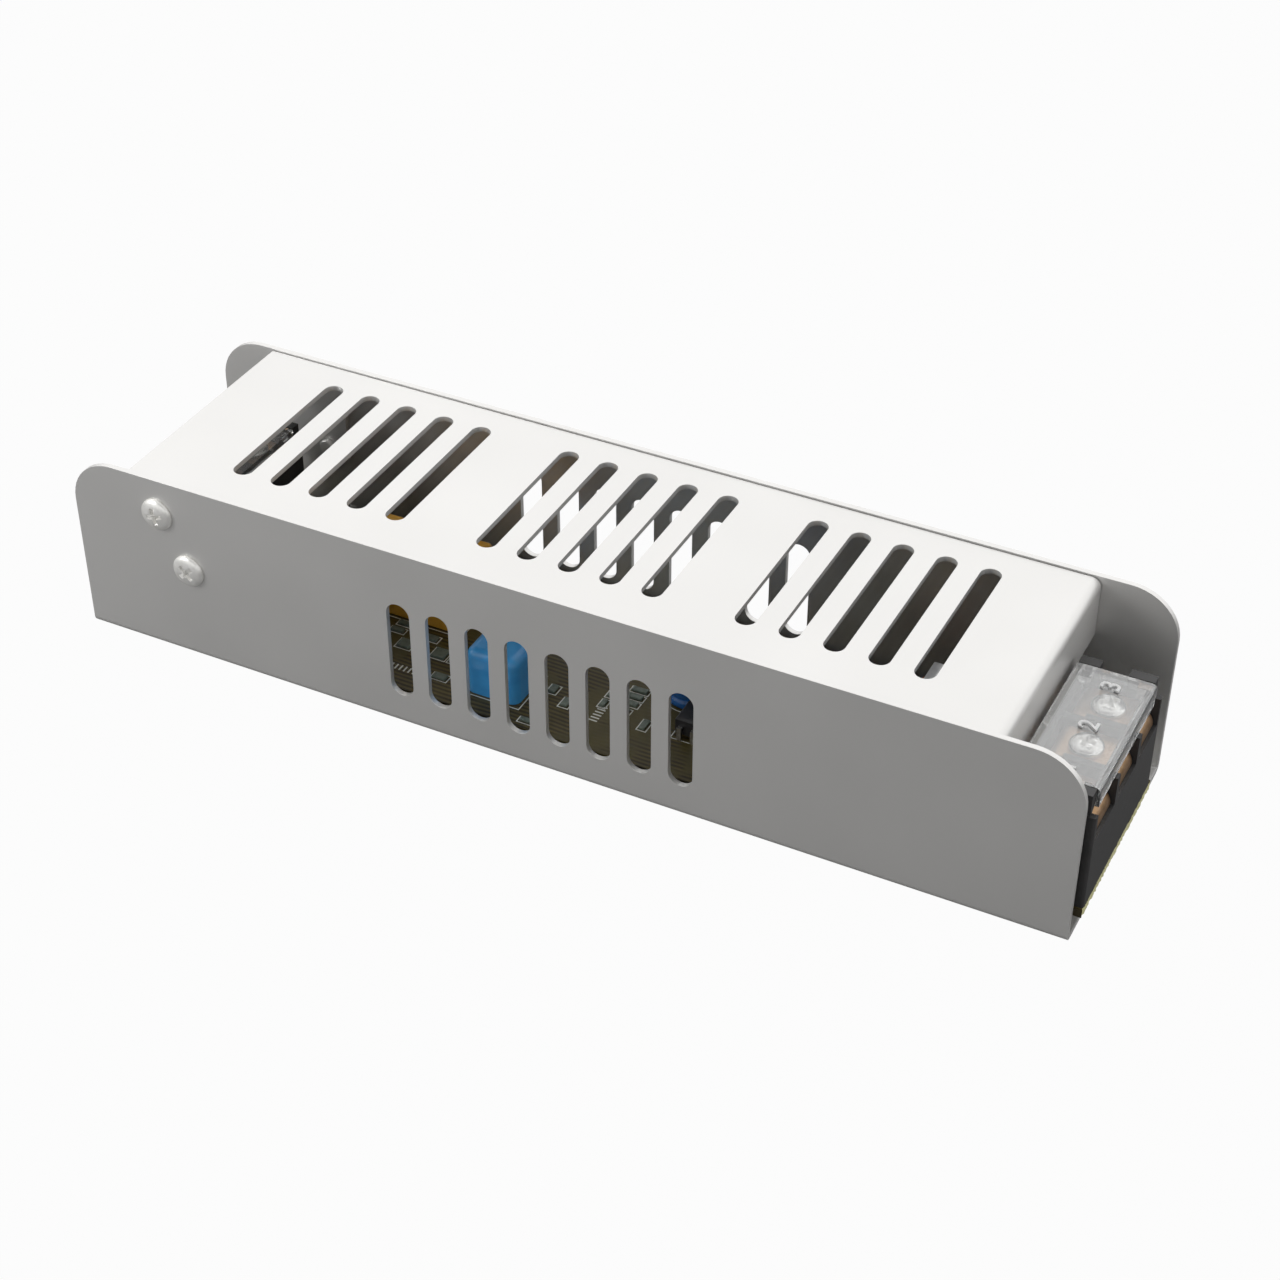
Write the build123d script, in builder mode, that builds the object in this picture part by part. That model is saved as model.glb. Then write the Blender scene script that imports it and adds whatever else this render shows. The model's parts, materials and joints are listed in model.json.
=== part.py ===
from build123d import *
import os

# A slim enclosed switching power supply. A U-shaped steel chassis and a slotted cover hold one
# circuit board, with a lidded screw terminal block at each end. Millimetres, +X towards the output
# end, +Z up. The origin is the middle of the chassis' underside.

# Chassis, one folded sheet open at both ends
length = 188.0
width = 48.0
height = 36.6
sheet = 1.0
bend_inside = 0.5
wall_corner_radius = 9.0
side_slot_count = 8
side_slot_pitch = 7.64
side_slot_width = 4.5
side_slot_height = 19.5
side_slot_bottom = 6.5
side_slot_centre_x = -0.75
base_hole_radius = 1.25
base_hole_inset_x = 4.0
base_hole_inset_y = 9.0
base_collar_radius = 2.1
base_collar_height = 1.2

# Cover, one folded sheet between the walls
cover_left_inset = 11.8
cover_right_inset = 13.9
cover_drop = 0.3
cover_side_gap = 0.25
lip_bottom = 25.0
cover_bend_inside = 0.8
cover_slot_group_x = (-48.8, 0.0, 47.8)
cover_slots_in_group = 5
cover_slot_pitch = 7.75
cover_slot_width = 3.7
cover_slot_length = 32.7
cover_slot_centre_y = 1.1
tab_gap = 0.2
tab_inset = 1.6
tab_length = 14.2
tab_bottom = 15.4
tab_corner_radius = 2.5

# Screws through the walls into the cover's tabs, and their holes
wall_screw_insets = (17.9, 23.3)
wall_screw_heights = (29.6, 19.2)
wall_screw_head_radius = 3.1
wall_screw_head_height = 1.3
wall_screw_length = 3.2
head_rim = 0.35
recess_arm = 3.4
recess_slot = 0.75
recess_depth = 0.8
m3_radius = 1.5
thread_gap = 0.05
wall_hole_gap = 0.2

# Circuit board, its supports and the insulating film under it
board_left_inset = 8.7
board_right_overhang = 1.3
board_side_gap = 1.0
board_notch_length = 13.0
board_notch_width = 8.6
board_top = 6.0
board_thickness = 1.6
board_screw_edge = 3.4
board_screw_head_radius = 2.75
board_screw_head_height = 1.9
board_screw_length = 5.0
board_hole_gap = 0.15
standoff_radius = 2.75
standoff_shank_radius = 2.05
clinch_gap = 0.02
film = 0.3
film_inset_x = 10.0
film_gap_y = 1.4
film_hole_gap = 0.5

# Terminal blocks, measured from the middle of the block's wire face at board level
block_depth = 14.2
block_half_width = 17.0
cell_count = 3
cell_pitch = 11.0
divider = 1.4
divider_top = 18.6
back_wall = 1.2
back_step_depth = 4.8
back_step_top = 17.8
front_wall = 1.6
sill_top = 13.3
cell_floor = 11.6
block_edge_radius = 0.5
lug_inner = 14.6
lug_outer = 16.6
lug_top = 22.5
lug_foot = 15.8
lug_bottom = 17.4
lug_step_low = 18.5
lug_step_high = 19.5
hinge_lug = (-13.9, -10.4)
latch_lug = (-5.5, -1.1)
hinge_x = -12.15
hinge_z = 20.8
block_inset = 0.1
output_block_edge = 0.4
input_block_edge = 1.9

# Clear lids over the terminals
lid_gap = 0.2
lid_back = -14.1
lid_front = -0.5
lid_top = 22.5
lid_thickness = 1.4
skirt_bottom = 18.9
skirt_return = 3.0
lid_front_radius = 1.0
hinge_pin_radius = 0.9
hinge_pin_gap = 0.06
hinge_pin_reach = 1.2
knuckle_radius = 1.3
knuckle_length = 2.5

# Contact plates, saddle clamps and terminal screws
contact_width = 9.0
contact_thickness = 1.0
contact_back = -12.7
contact_front = -2.0
contact_leg_x = -11.4
contact_leg_width = 3.0
contact_leg_reach = 1.0
leg_hole_gap = 0.1
terminal_screw_x = -7.2
clamp_width = 9.0
clamp_thickness = 0.8
clamp_top = 16.8
clamp_back = -12.6
clamp_front = -0.6
clamp_front_radius = 2.4
clamp_back_radius = 0.9
clamp_foot = 13.5
clamp_back_foot = 14.4
clamp_hole_gap = 0.06
terminal_head_radius = 2.9
head_seat_gap = 0.1
terminal_head_height = 1.6
terminal_screw_tip = 8.9
screw_well_depth = 3.0
screw_well_gap = 0.4

# Where the board and its ends lie
wall_inside = width / 2 - sheet
board_width = 2 * (wall_inside - board_side_gap)
left = board_left_inset - length / 2
right = length / 2 + board_right_overhang
near = -board_width / 2
far = board_width / 2

# Blocks on the board, as (low x, low y, high x, high y, height), and how far each is raised.
# They stand off the board's ends and sides, so they keep their place beside those.
x_capacitor = (left + 32.8, near + 18, left + 57.6, near + 31, 12.2)
x_capacitor_edge = 0.7
box_capacitor = (-18.8, near + 4.7, -8.6, near + 14, 9.2)
box_capacitor_edge = 1.6
optocoupler = (right - 76, near + 9.8, right - 71.4, near + 16.2, 3.5)
optocoupler_lift = 0.8
bridge = (left + 41.3, near + 32, left + 49.7, near + 38.4, 3.3)
bridge_lift = 0.5
mosfet = (right - 67.3, near + 7.5, right - 62.8, near + 17.5, 15.0)
mosfet_lift = 3.0
rectifier = (right - 32.7, near + 5.5, right - 28.2, near + 15.5, 15.0)
rectifier_lift = 4.0
package_hole_height = 12.0
package_hole_radius = 1.7
package_edge = 0.4
heat_sink = (right - 34.3, near + 1.5, right - 32.7, near + 19.5, 24.0)
heat_sink_foot = 3.0
rectifier_screw_length = 6.0

# Pins of those blocks: width, thickness, spacing, and how far a bent one stands out
pin_width = 0.8
pin_thickness = 0.4
pin_pitch = 2.54
pin_reach = 0.7
bridge_pin_pitch = 5.1

# Transformer: an E core on edge, its coil round the middle leg, and the bobbin's two pin rails
transformer_core = (right - 60.8, near + 7.5, right - 35.8, near + 14.5, 17.0)
transformer_lift = 1.6
transformer_side_leg = 4.0
transformer_yoke = 3.6
transformer_middle_leg = 7.0
transformer_coil_gap = 0.3
transformer_coil_width = 18.0
transformer_coil_edge = 3.0
transformer_rail_length = 23.0
transformer_rail_width = 4.0

# Line choke: a rectangular ring on edge with a coil round each upright leg
line_choke_place = (left + 18.2, near + 24.8)
line_choke_width = 10.8
line_choke_height = 10.0
line_choke_thickness = 3.5
line_choke_leg = 3.0
line_choke_yoke = 2.0
line_choke_coil = 1.2
line_choke_coil_gap = 0.1
line_choke_edge = 0.8

# Output choke: a flat ring wound with square turns
output_choke_place = (right - 42.3, near + 30.6)
output_choke_radius = 7.0
output_choke_hole_radius = 3.8
output_choke_height = 4.6
output_choke_wire = 0.7
output_choke_gap = 0.05
output_choke_turns = 18
output_choke_turn_angle = 17.0

# Electrolytic cans
bulk_radius = 8.0
bulk_length = 24.0
bulk_place = (left + 28.3, near + 8.6)
bulk_lift = 0.6
bulk_saddle_length = 16.0
bulk_saddle_width = 10.0
bulk_saddle_height = 3.2
bulk_saddle_gap = 0.05
output_can_radius = 5.0
output_can_height = 18.0
output_can_places = ((right - 21.7, near + 5.8), (right - 21.7, near + 16.6))
auxiliary_can_radius = 5.0
auxiliary_can_height = 13.0
auxiliary_can_place = (right - 78.1, near + 21.7)
can_edge = 0.6
can_groove_height = 2.0
can_groove_width = 1.2
can_groove_depth = 0.4

# Fuse, discs and resistors
fuse_place = (left + 27.4, far - 9.4)
fuse_length = 10.0
fuse_radius = 1.5
fuse_cap_wall = 0.2
fuse_cap_length = 2.0
fuse_lift = 0.8
lead_radius = 0.35
disc_edge = 0.7
disc_lift = 0.8
disc_lead_spread = 2.5
thermistor_place = (left + 30.7, near + 22.9)
thermistor_radius = 4.0
thermistor_thickness = 2.4
y_capacitor_place = (left + 63.3, near + 34.0)
y_capacitor_radius = 3.4
y_capacitor_thickness = 3.0
resistor_places = ((2.0, far - 5.5), (6.5, far - 5.5), (11.0, far - 5.5),
                   (right - 61.3, near + 28.0), (right - 56.8, near + 28.0))
resistor_length = 6.3
resistor_radius = 1.15
resistor_edge = 0.3

# Values worked out from the sizes above
bend_outside = bend_inside + sheet
cover_top = height - cover_drop
cover_left = cover_left_inset - length / 2
cover_right = length / 2 - cover_right_inset
tab_left = cover_left + tab_inset
tab_right = tab_left + tab_length
wall_screw_places = [(x - length / 2, z) for x, z in zip(wall_screw_insets, wall_screw_heights)]
base_hole_spacing_x = length - 2 * base_hole_inset_x
base_hole_spacing_y = width - 2 * base_hole_inset_y
film_length = length - 2 * film_inset_x
film_width = 2 * (wall_inside - film_gap_y)
board_screw_y = board_width / 2 - board_screw_edge
board_screw_places = [(left + 19.3, board_screw_y), (left + 43.3, -board_screw_y),
                      (right - 64.8, -board_screw_y), (right - 18.3, board_screw_y)]
output_block = (right - block_inset, near + output_block_edge + block_half_width)
input_block = (left + block_inset, near + input_block_edge + block_half_width)
cover_half_width = wall_inside - cover_side_gap
cover_bend_outside = cover_bend_inside + sheet
tab_face = wall_inside - tab_gap
side_slot_centre_z = side_slot_bottom + side_slot_height / 2
cell_width = cell_pitch - divider
cell_back = -block_depth + back_wall
lid_half_width = lug_inner - lid_gap
lid_underside = lid_top - lid_thickness
board_bottom = board_top - board_thickness
clamp_hole_radius = m3_radius + clamp_hole_gap
thread_radius = m3_radius + thread_gap
head_seat_z = clamp_top + head_seat_gap

os.makedirs("parts", exist_ok=True)


def place_block(block, turn):
    """Where a terminal block's own frame stands on the board."""
    return Location((block[0], block[1], board_top), (0, 0, turn))


def box_on_board(size, lift=0.0):
    """A plain block over a rectangle of the board, raised by lift, as tall as its last number."""
    low_x, low_y, high_x, high_y, tall = size
    with Locations((*middle(size), board_top + lift)):
        Box(high_x - low_x, high_y - low_y, tall, align=(Align.CENTER, Align.CENTER, Align.MIN))


def middle(size):
    """The middle of such a rectangle."""
    return ((size[0] + size[2]) / 2, (size[1] + size[3]) / 2)


def screw(head_radius, head_height, shank_length):
    """A screw with a flat head and a cross recess. Its head's seat is at z = 0, the shank below."""
    with BuildPart() as turned:
        with BuildSketch(Plane.XZ):
            with BuildLine():
                Polyline((0, head_height), (0, -shank_length), (m3_radius - head_rim, -shank_length),
                         (m3_radius, head_rim - shank_length), (m3_radius, 0), (head_radius, 0),
                         (head_radius, head_height - head_rim), (head_radius - head_rim, head_height), close=True)
            make_face()
        revolve(axis=Axis.Z)
        with Locations((0, 0, head_height)):
            Box(recess_arm, recess_slot, 2 * recess_depth, mode=Mode.SUBTRACT)
            Box(recess_slot, recess_arm, 2 * recess_depth, mode=Mode.SUBTRACT)
    return turned.part


def can(radius, tall):
    """An upright electrolytic can with a groove round its foot. Its foot is at z = 0."""
    with BuildPart() as turned:
        with BuildSketch(Plane.XZ):
            Rectangle(radius, tall, align=(Align.MIN, Align.MIN))
            chamfer(vertices().group_by(Axis.X)[-1], length=can_edge)
            with Locations((radius, can_groove_height)):
                Rectangle(2 * can_groove_depth, can_groove_width, mode=Mode.SUBTRACT)
        revolve(axis=Axis.Z)
    return turned.part


def disc(radius, thickness, name, place):
    """A coated disc on edge, across X, on two leads."""
    with BuildPart() as coated:
        with Locations((*place, board_top + disc_lift + radius)):
            Cylinder(radius, thickness, rotation=(0, 90, 0))
        chamfer(edges().filter_by(GeomType.CIRCLE), length=disc_edge)
        for side in (-1, 1):
            with Locations((place[0], place[1] + side * disc_lead_spread, board_top)):
                Cylinder(lead_radius, disc_lift + radius, align=(Align.CENTER, Align.CENTER, Align.MIN))
    coated.part.label = name
    export_step(coated.part, f"parts/{name}.step")


def bent_pins(size, lift, pitch, name):
    """Four strips that leave the sides of a block and turn down to the board."""
    low_x, low_y, high_x, high_y, tall = size
    shoulder = board_top + lift + tall / 2
    with BuildPart() as pins:
        with BuildSketch(Plane.YZ.offset((low_x + high_x - pitch - pin_width) / 2)):
            for edge_y, side in ((low_y, -1), (high_y, 1)):
                with BuildLine():
                    Polyline((edge_y, shoulder), (edge_y + side * pin_reach, shoulder),
                             (edge_y + side * pin_reach, board_top),
                             (edge_y + side * (pin_reach - pin_thickness), board_top),
                             (edge_y + side * (pin_reach - pin_thickness), shoulder - pin_thickness),
                             (edge_y, shoulder - pin_thickness), close=True)
                make_face()
        extrude(amount=pin_width)
        add(pins.part.moved(Location((pitch, 0, 0))))
    pins.part.label = name
    export_step(pins.part, f"parts/{name}.step")


def power_package(size, lift, name):
    """An upright moulded package with a screw hole, and its three straight pins."""
    centre_x, centre_y = middle(size)
    with BuildPart() as package:
        box_on_board(size, lift)
        chamfer(edges().filter_by(Axis.Z), length=package_edge)
        with Locations((centre_x, centre_y, board_top + lift + package_hole_height)):
            Cylinder(package_hole_radius, 2 * size[4], rotation=(0, 90, 0), mode=Mode.SUBTRACT)
    package.part.label = name
    export_step(package.part, f"parts/{name}.step")
    with BuildPart() as pins:
        with Locations((centre_x, centre_y, board_top)):
            with GridLocations(0, pin_pitch, 1, 3):
                Box(pin_thickness, pin_width, lift, align=(Align.CENTER, Align.CENTER, Align.MIN))
    pins.part.label = f"{name}_pins"
    export_step(pins.part, f"parts/{name}_pins.step")


# Chassis
with BuildPart() as chassis:
    with BuildSketch(Plane.YZ.offset(-length / 2)):
        Rectangle(width, height, align=(Align.CENTER, Align.MIN))
        fillet(vertices().group_by(Axis.Y)[0], radius=bend_outside)
        with BuildSketch(mode=Mode.SUBTRACT):
            with Locations((0, sheet)):
                Rectangle(width - 2 * sheet, height, align=(Align.CENTER, Align.MIN))
            fillet(vertices().group_by(Axis.Y)[0], radius=bend_inside)
    extrude(amount=length)
    fillet(edges().filter_by(Axis.Y).group_by(Axis.Z)[-1], radius=wall_corner_radius)
    with BuildSketch(Plane.XZ):
        with Locations((side_slot_centre_x, side_slot_centre_z)):
            with GridLocations(side_slot_pitch, 0, side_slot_count, 1):
                SlotOverall(side_slot_height, side_slot_width, rotation=90)
        with Locations(*wall_screw_places):
            Circle(m3_radius + wall_hole_gap)
    extrude(amount=width, both=True, mode=Mode.SUBTRACT)
    with BuildSketch(Plane.XY.offset(sheet)):
        with GridLocations(base_hole_spacing_x, base_hole_spacing_y, 2, 2):
            Circle(base_collar_radius)
    extrude(amount=base_collar_height)
    with BuildSketch():
        with GridLocations(base_hole_spacing_x, base_hole_spacing_y, 2, 2):
            Circle(base_hole_radius)
        with Locations(*board_screw_places):
            Circle(standoff_shank_radius + clinch_gap)
    extrude(amount=sheet + base_collar_height, mode=Mode.SUBTRACT)
chassis.part.label = "chassis"
export_step(chassis.part, "parts/chassis.step")

# Cover: the slotted top, the lip at the output end and the two screw tabs
with BuildPart() as cover:
    with BuildSketch(Plane.XZ):
        with Locations((cover_left, cover_top)):
            Rectangle(cover_right - cover_left, cover_top - lip_bottom, align=(Align.MIN, Align.MAX))
        fillet(vertices().group_by(Axis.X)[-1].sort_by(Axis.Y)[-1], radius=cover_bend_outside)
        with BuildSketch(mode=Mode.SUBTRACT):
            with Locations((cover_left, cover_top - sheet)):
                Rectangle(cover_right - cover_left - sheet, cover_top - lip_bottom,
                          align=(Align.MIN, Align.MAX))
            fillet(vertices().group_by(Axis.X)[-1].sort_by(Axis.Y)[-1], radius=cover_bend_inside)
    extrude(amount=cover_half_width, both=True)
    with BuildSketch(Plane.YZ.offset(tab_left)):
        with Locations((0, cover_top)):
            Rectangle(2 * tab_face, cover_top - tab_bottom, align=(Align.CENTER, Align.MAX))
        fillet(vertices().group_by(Axis.Y)[-1], radius=cover_bend_outside)
        with BuildSketch(mode=Mode.SUBTRACT):
            with Locations((0, cover_top - sheet)):
                Rectangle(2 * (tab_face - sheet), cover_top - tab_bottom, align=(Align.CENTER, Align.MAX))
            fillet(vertices().group_by(Axis.Y)[-1], radius=cover_bend_inside)
    extrude(amount=tab_right - tab_left)
    fillet(edges().filter_by(Axis.Y).group_by(Axis.Z)[0], radius=tab_corner_radius)
    with BuildSketch(Plane.XZ):
        with Locations(*wall_screw_places):
            Circle(thread_radius)
    extrude(amount=width, both=True, mode=Mode.SUBTRACT)
    with BuildSketch(Plane.XY.offset(cover_top)):
        for group_x in cover_slot_group_x:
            with Locations((group_x, cover_slot_centre_y)):
                with GridLocations(cover_slot_pitch, 0, cover_slots_in_group, 1):
                    SlotOverall(cover_slot_length, cover_slot_width, rotation=90)
    extrude(amount=-2 * sheet, mode=Mode.SUBTRACT)
cover.part.label = "cover"
export_step(cover.part, "parts/cover.step")

# Screws through the walls into the cover's tabs
wall_screw = screw(wall_screw_head_radius, wall_screw_head_height, wall_screw_length)
wall_screws = Compound(
    label="wall_screws",
    children=[
        wall_screw.moved(Location((x, side * width / 2, z), (-90 * side, 0, 0)))
        for side in (-1, 1)
        for x, z in wall_screw_places
    ],
)
export_step(wall_screws, "parts/wall_screws.step")

# Insulating film on the chassis floor
with BuildPart() as insulating_film:
    with BuildSketch(Plane.XY.offset(sheet)):
        Rectangle(film_length, film_width)
        with Locations(*board_screw_places):
            Circle(standoff_radius + film_hole_gap, mode=Mode.SUBTRACT)
    extrude(amount=film)
insulating_film.part.label = "insulating_film"
export_step(insulating_film.part, "parts/insulating_film.step")

# Standoffs clinched into the floor, and the screws that hold the board down on them
with BuildPart() as standoff:
    Cylinder(standoff_shank_radius, sheet, align=(Align.CENTER, Align.CENTER, Align.MIN))
    with BuildSketch(Plane.XY.offset(sheet)):
        RegularPolygon(standoff_radius, 6)
    extrude(amount=board_bottom - sheet)
    Hole(thread_radius)
board_standoffs = Compound(
    label="board_standoffs",
    children=[standoff.part.moved(Location((x, y, 0))) for x, y in board_screw_places],
)
export_step(board_standoffs, "parts/board_standoffs.step")

board_screw = screw(board_screw_head_radius, board_screw_head_height, board_screw_length)
board_screws = Compound(
    label="board_screws",
    children=[board_screw.moved(Location((x, y, board_top))) for x, y in board_screw_places],
)
export_step(board_screws, "parts/board_screws.step")

# Circuit board, notched at one corner, with holes for its screws and for the six contacts' legs
with BuildPart() as circuit_board:
    with BuildSketch(Plane.XY.offset(board_bottom)):
        with Locations(((left + right) / 2, 0)):
            Rectangle(right - left, board_width)
        with Locations((right, far)):
            Rectangle(board_notch_length, board_notch_width, align=(Align.MAX, Align.MAX), mode=Mode.SUBTRACT)
        with Locations(*board_screw_places):
            Circle(m3_radius + board_hole_gap, mode=Mode.SUBTRACT)
        for (block_x, block_y), out in ((output_block, 1), (input_block, -1)):
            with Locations((block_x + out * contact_leg_x, block_y)):
                with GridLocations(0, cell_pitch, 1, cell_count):
                    Rectangle(contact_thickness + 2 * leg_hole_gap, contact_leg_width + 2 * leg_hole_gap,
                              mode=Mode.SUBTRACT)
    extrude(amount=board_thickness)
circuit_board.part.label = "circuit_board"
export_step(circuit_board.part, "parts/circuit_board.step")

# Terminal body: one moulding with three cells open to the front and top, and two lugs at each end
with BuildPart() as terminal_body:
    with Locations((-block_depth / 2, 0)):
        Box(block_depth, 2 * block_half_width, divider_top, align=(Align.CENTER, Align.CENTER, Align.MIN))
    fillet(edges().filter_by(Axis.Z), radius=block_edge_radius)
    with Locations((-block_depth, 0, back_step_top)):
        Box(2 * back_step_depth, 2 * block_half_width, block_depth, mode=Mode.SUBTRACT,
            align=(Align.CENTER, Align.CENTER, Align.MIN))
    with BuildSketch(Plane.XY.offset(cell_floor)):
        with Locations(((cell_back - front_wall) / 2, 0)):
            with GridLocations(0, cell_pitch, 1, cell_count):
                Rectangle(-front_wall - cell_back, cell_width)
    extrude(amount=divider_top, mode=Mode.SUBTRACT)
    with BuildSketch(Plane.XY.offset(sill_top)):
        with GridLocations(0, cell_pitch, 1, cell_count):
            Rectangle(4 * front_wall, cell_width)
    extrude(amount=divider_top, mode=Mode.SUBTRACT)
    with BuildSketch():
        with Locations((contact_leg_x, 0)):
            with GridLocations(0, cell_pitch, 1, cell_count):
                Rectangle(contact_thickness + 2 * leg_hole_gap, contact_leg_width + 2 * leg_hole_gap)
    extrude(amount=cell_floor, mode=Mode.SUBTRACT)
    with BuildSketch(Plane.XY.offset(cell_floor - screw_well_depth)):
        with Locations((terminal_screw_x, 0)):
            with GridLocations(0, cell_pitch, 1, cell_count):
                Circle(m3_radius + screw_well_gap)
    extrude(amount=screw_well_depth, mode=Mode.SUBTRACT)
    for low_x, high_x in (hinge_lug, latch_lug):
        with BuildSketch(Plane.YZ.offset(low_x)):
            for side in (-1, 1):
                with BuildLine():
                    Polyline((side * lug_outer, lug_bottom), (side * lug_outer, lug_top),
                             (side * lug_inner, lug_top), (side * lug_inner, lug_step_high),
                             (side * lug_foot, lug_step_low), (side * lug_foot, lug_bottom), close=True)
                make_face()
        extrude(amount=high_x - low_x)
    with BuildSketch(Plane.XZ):
        with Locations((hinge_x, hinge_z)):
            Circle(hinge_pin_radius + hinge_pin_gap)
    extrude(amount=block_half_width, both=True, mode=Mode.SUBTRACT)

# Clear lid: a plate with a front skirt that returns at both ends, and a hinge pin at each end
with BuildPart() as terminal_lid:
    with BuildSketch(Plane.XY.offset(lid_underside)):
        with Locations(((lid_back + lid_front) / 2, 0)):
            Rectangle(lid_front - lid_back, 2 * lid_half_width)
    extrude(amount=lid_thickness)
    with BuildSketch(Plane.XY.offset(skirt_bottom)):
        with Locations((lid_front - skirt_return / 2, 0)):
            Rectangle(skirt_return, 2 * lid_half_width)
        with Locations((lid_front - lid_thickness - skirt_return / 2, 0)):
            Rectangle(skirt_return, 2 * (lid_half_width - lid_thickness), mode=Mode.SUBTRACT)
    extrude(amount=lid_underside - skirt_bottom)
    fillet(edges().filter_by(Axis.Y).group_by(Axis.X)[-1].sort_by(Axis.Z)[-1], radius=lid_front_radius)
    for side in (-1, 1):
        with Locations((hinge_x, side * (lid_half_width - knuckle_length / 2), hinge_z)):
            Cylinder(knuckle_radius, knuckle_length, rotation=(90, 0, 0))
        with Locations((hinge_x, side * lid_half_width, hinge_z)):
            Cylinder(hinge_pin_radius, 2 * hinge_pin_reach, rotation=(90, 0, 0))

# Contact: a plate on the cell's floor with a tapped hole, and a leg down through the board
with BuildPart() as contact:
    with BuildSketch(Plane.XY.offset(cell_floor)):
        with Locations(((contact_back + contact_front) / 2, 0)):
            Rectangle(contact_front - contact_back, contact_width)
        with Locations((terminal_screw_x, 0)):
            Circle(thread_radius, mode=Mode.SUBTRACT)
    extrude(amount=contact_thickness)
    with BuildSketch(Plane.XY.offset(-board_thickness - contact_leg_reach)):
        with Locations((contact_leg_x, 0)):
            Rectangle(contact_thickness, contact_leg_width)
    extrude(amount=cell_floor + board_thickness + contact_leg_reach)

# Saddle clamp: a strip bent down in front and behind, which rises and falls with its screw
with BuildPart() as clamp:
    with BuildSketch(Plane.XZ):
        with Locations(((clamp_back + clamp_front) / 2, clamp_top)):
            Rectangle(clamp_front - clamp_back, clamp_top - clamp_foot, align=(Align.CENTER, Align.MAX))
        fillet(vertices().group_by(Axis.Y)[-1].sort_by(Axis.X)[-1],
               radius=clamp_front_radius + clamp_thickness)
        fillet(vertices().group_by(Axis.Y)[-1].sort_by(Axis.X)[0], radius=clamp_back_radius + clamp_thickness)
        with BuildSketch(mode=Mode.SUBTRACT):
            with Locations(((clamp_back + clamp_front) / 2, clamp_top - clamp_thickness)):
                Rectangle(clamp_front - clamp_back - 2 * clamp_thickness, clamp_top - clamp_foot,
                          align=(Align.CENTER, Align.MAX))
            fillet(vertices().group_by(Axis.Y)[-1].sort_by(Axis.X)[-1], radius=clamp_front_radius)
            fillet(vertices().group_by(Axis.Y)[-1].sort_by(Axis.X)[0], radius=clamp_back_radius)
        with Locations((clamp_back, clamp_back_foot)):
            Rectangle(2 * clamp_thickness, clamp_top - clamp_foot, align=(Align.MIN, Align.MAX),
                      mode=Mode.SUBTRACT)
    extrude(amount=clamp_width / 2, both=True)
    with Locations((terminal_screw_x, 0, clamp_top)):
        Hole(clamp_hole_radius)

terminal_screw = screw(terminal_head_radius, terminal_head_height, head_seat_z - terminal_screw_tip).moved(
    Location((terminal_screw_x, 0, head_seat_z)))

for end, block, turn in (("output", output_block, 0), ("input", input_block, 180)):
    place = place_block(block, turn)
    for piece, name in ((terminal_body.part, f"{end}_terminal_body"), (terminal_lid.part, f"{end}_lid")):
        placed = piece.moved(place)
        placed.label = name
        export_step(placed, f"parts/{name}.step")
    for number in range(1, cell_count + 1):
        cell = Location((0, (number - 1 - (cell_count - 1) / 2) * cell_pitch, 0))
        for piece, name in ((contact.part, "contact"), (clamp.part, "clamp"), (terminal_screw, "screw")):
            placed = piece.moved(place * cell)
            placed.label = f"{end}_{name}_{number}"
            export_step(placed, f"parts/{end}_{name}_{number}.step")

# Film capacitors
with BuildPart() as x_capacitor_box:
    box_on_board(x_capacitor)
    fillet(edges().group_by(Axis.Z)[-1] + edges().filter_by(Axis.Z), radius=x_capacitor_edge)
x_capacitor_box.part.label = "x_capacitor"
export_step(x_capacitor_box.part, "parts/x_capacitor.step")

with BuildPart() as box_capacitor_box:
    box_on_board(box_capacitor)
    fillet(edges().group_by(Axis.Z)[-1] + edges().filter_by(Axis.Z), radius=box_capacitor_edge)
box_capacitor_box.part.label = "box_capacitor"
export_step(box_capacitor_box.part, "parts/box_capacitor.step")

# Optocoupler and bridge rectifier, each on four bent pins
with BuildPart() as optocoupler_box:
    box_on_board(optocoupler, optocoupler_lift)
    chamfer(edges().group_by(Axis.Z)[-1], length=package_edge)
optocoupler_box.part.label = "optocoupler"
export_step(optocoupler_box.part, "parts/optocoupler.step")
bent_pins(optocoupler, optocoupler_lift, pin_pitch, "optocoupler_pins")

with BuildPart() as bridge_box:
    box_on_board(bridge, bridge_lift)
    chamfer(edges().group_by(Axis.Z)[-1], length=package_edge)
bridge_box.part.label = "bridge_rectifier"
export_step(bridge_box.part, "parts/bridge_rectifier.step")
bent_pins(bridge, bridge_lift, bridge_pin_pitch, "bridge_pins")

# Power transistor, and the output rectifier screwed to its heat sink
power_package(mosfet, mosfet_lift, "mosfet")
power_package(rectifier, rectifier_lift, "output_rectifier")
with BuildPart() as heat_sink_plate:
    box_on_board(heat_sink)
    with Locations((heat_sink[0], middle(heat_sink)[1], board_top)):
        Box(heat_sink_foot, heat_sink[3] - heat_sink[1], heat_sink[2] - heat_sink[0],
            align=(Align.MIN, Align.CENTER, Align.MIN))
    with Locations((*middle(rectifier), board_top + rectifier_lift + package_hole_height)):
        Cylinder(thread_radius, 2 * rectifier[4], rotation=(0, 90, 0), mode=Mode.SUBTRACT)
heat_sink_plate.part.label = "heat_sink"
export_step(heat_sink_plate.part, "parts/heat_sink.step")
rectifier_screw = screw(board_screw_head_radius, board_screw_head_height, rectifier_screw_length).moved(
    Location((rectifier[2], middle(rectifier)[1], board_top + rectifier_lift + package_hole_height),
             (0, 90, 0)))
rectifier_screw.label = "rectifier_screw"
export_step(rectifier_screw, "parts/rectifier_screw.step")

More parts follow.
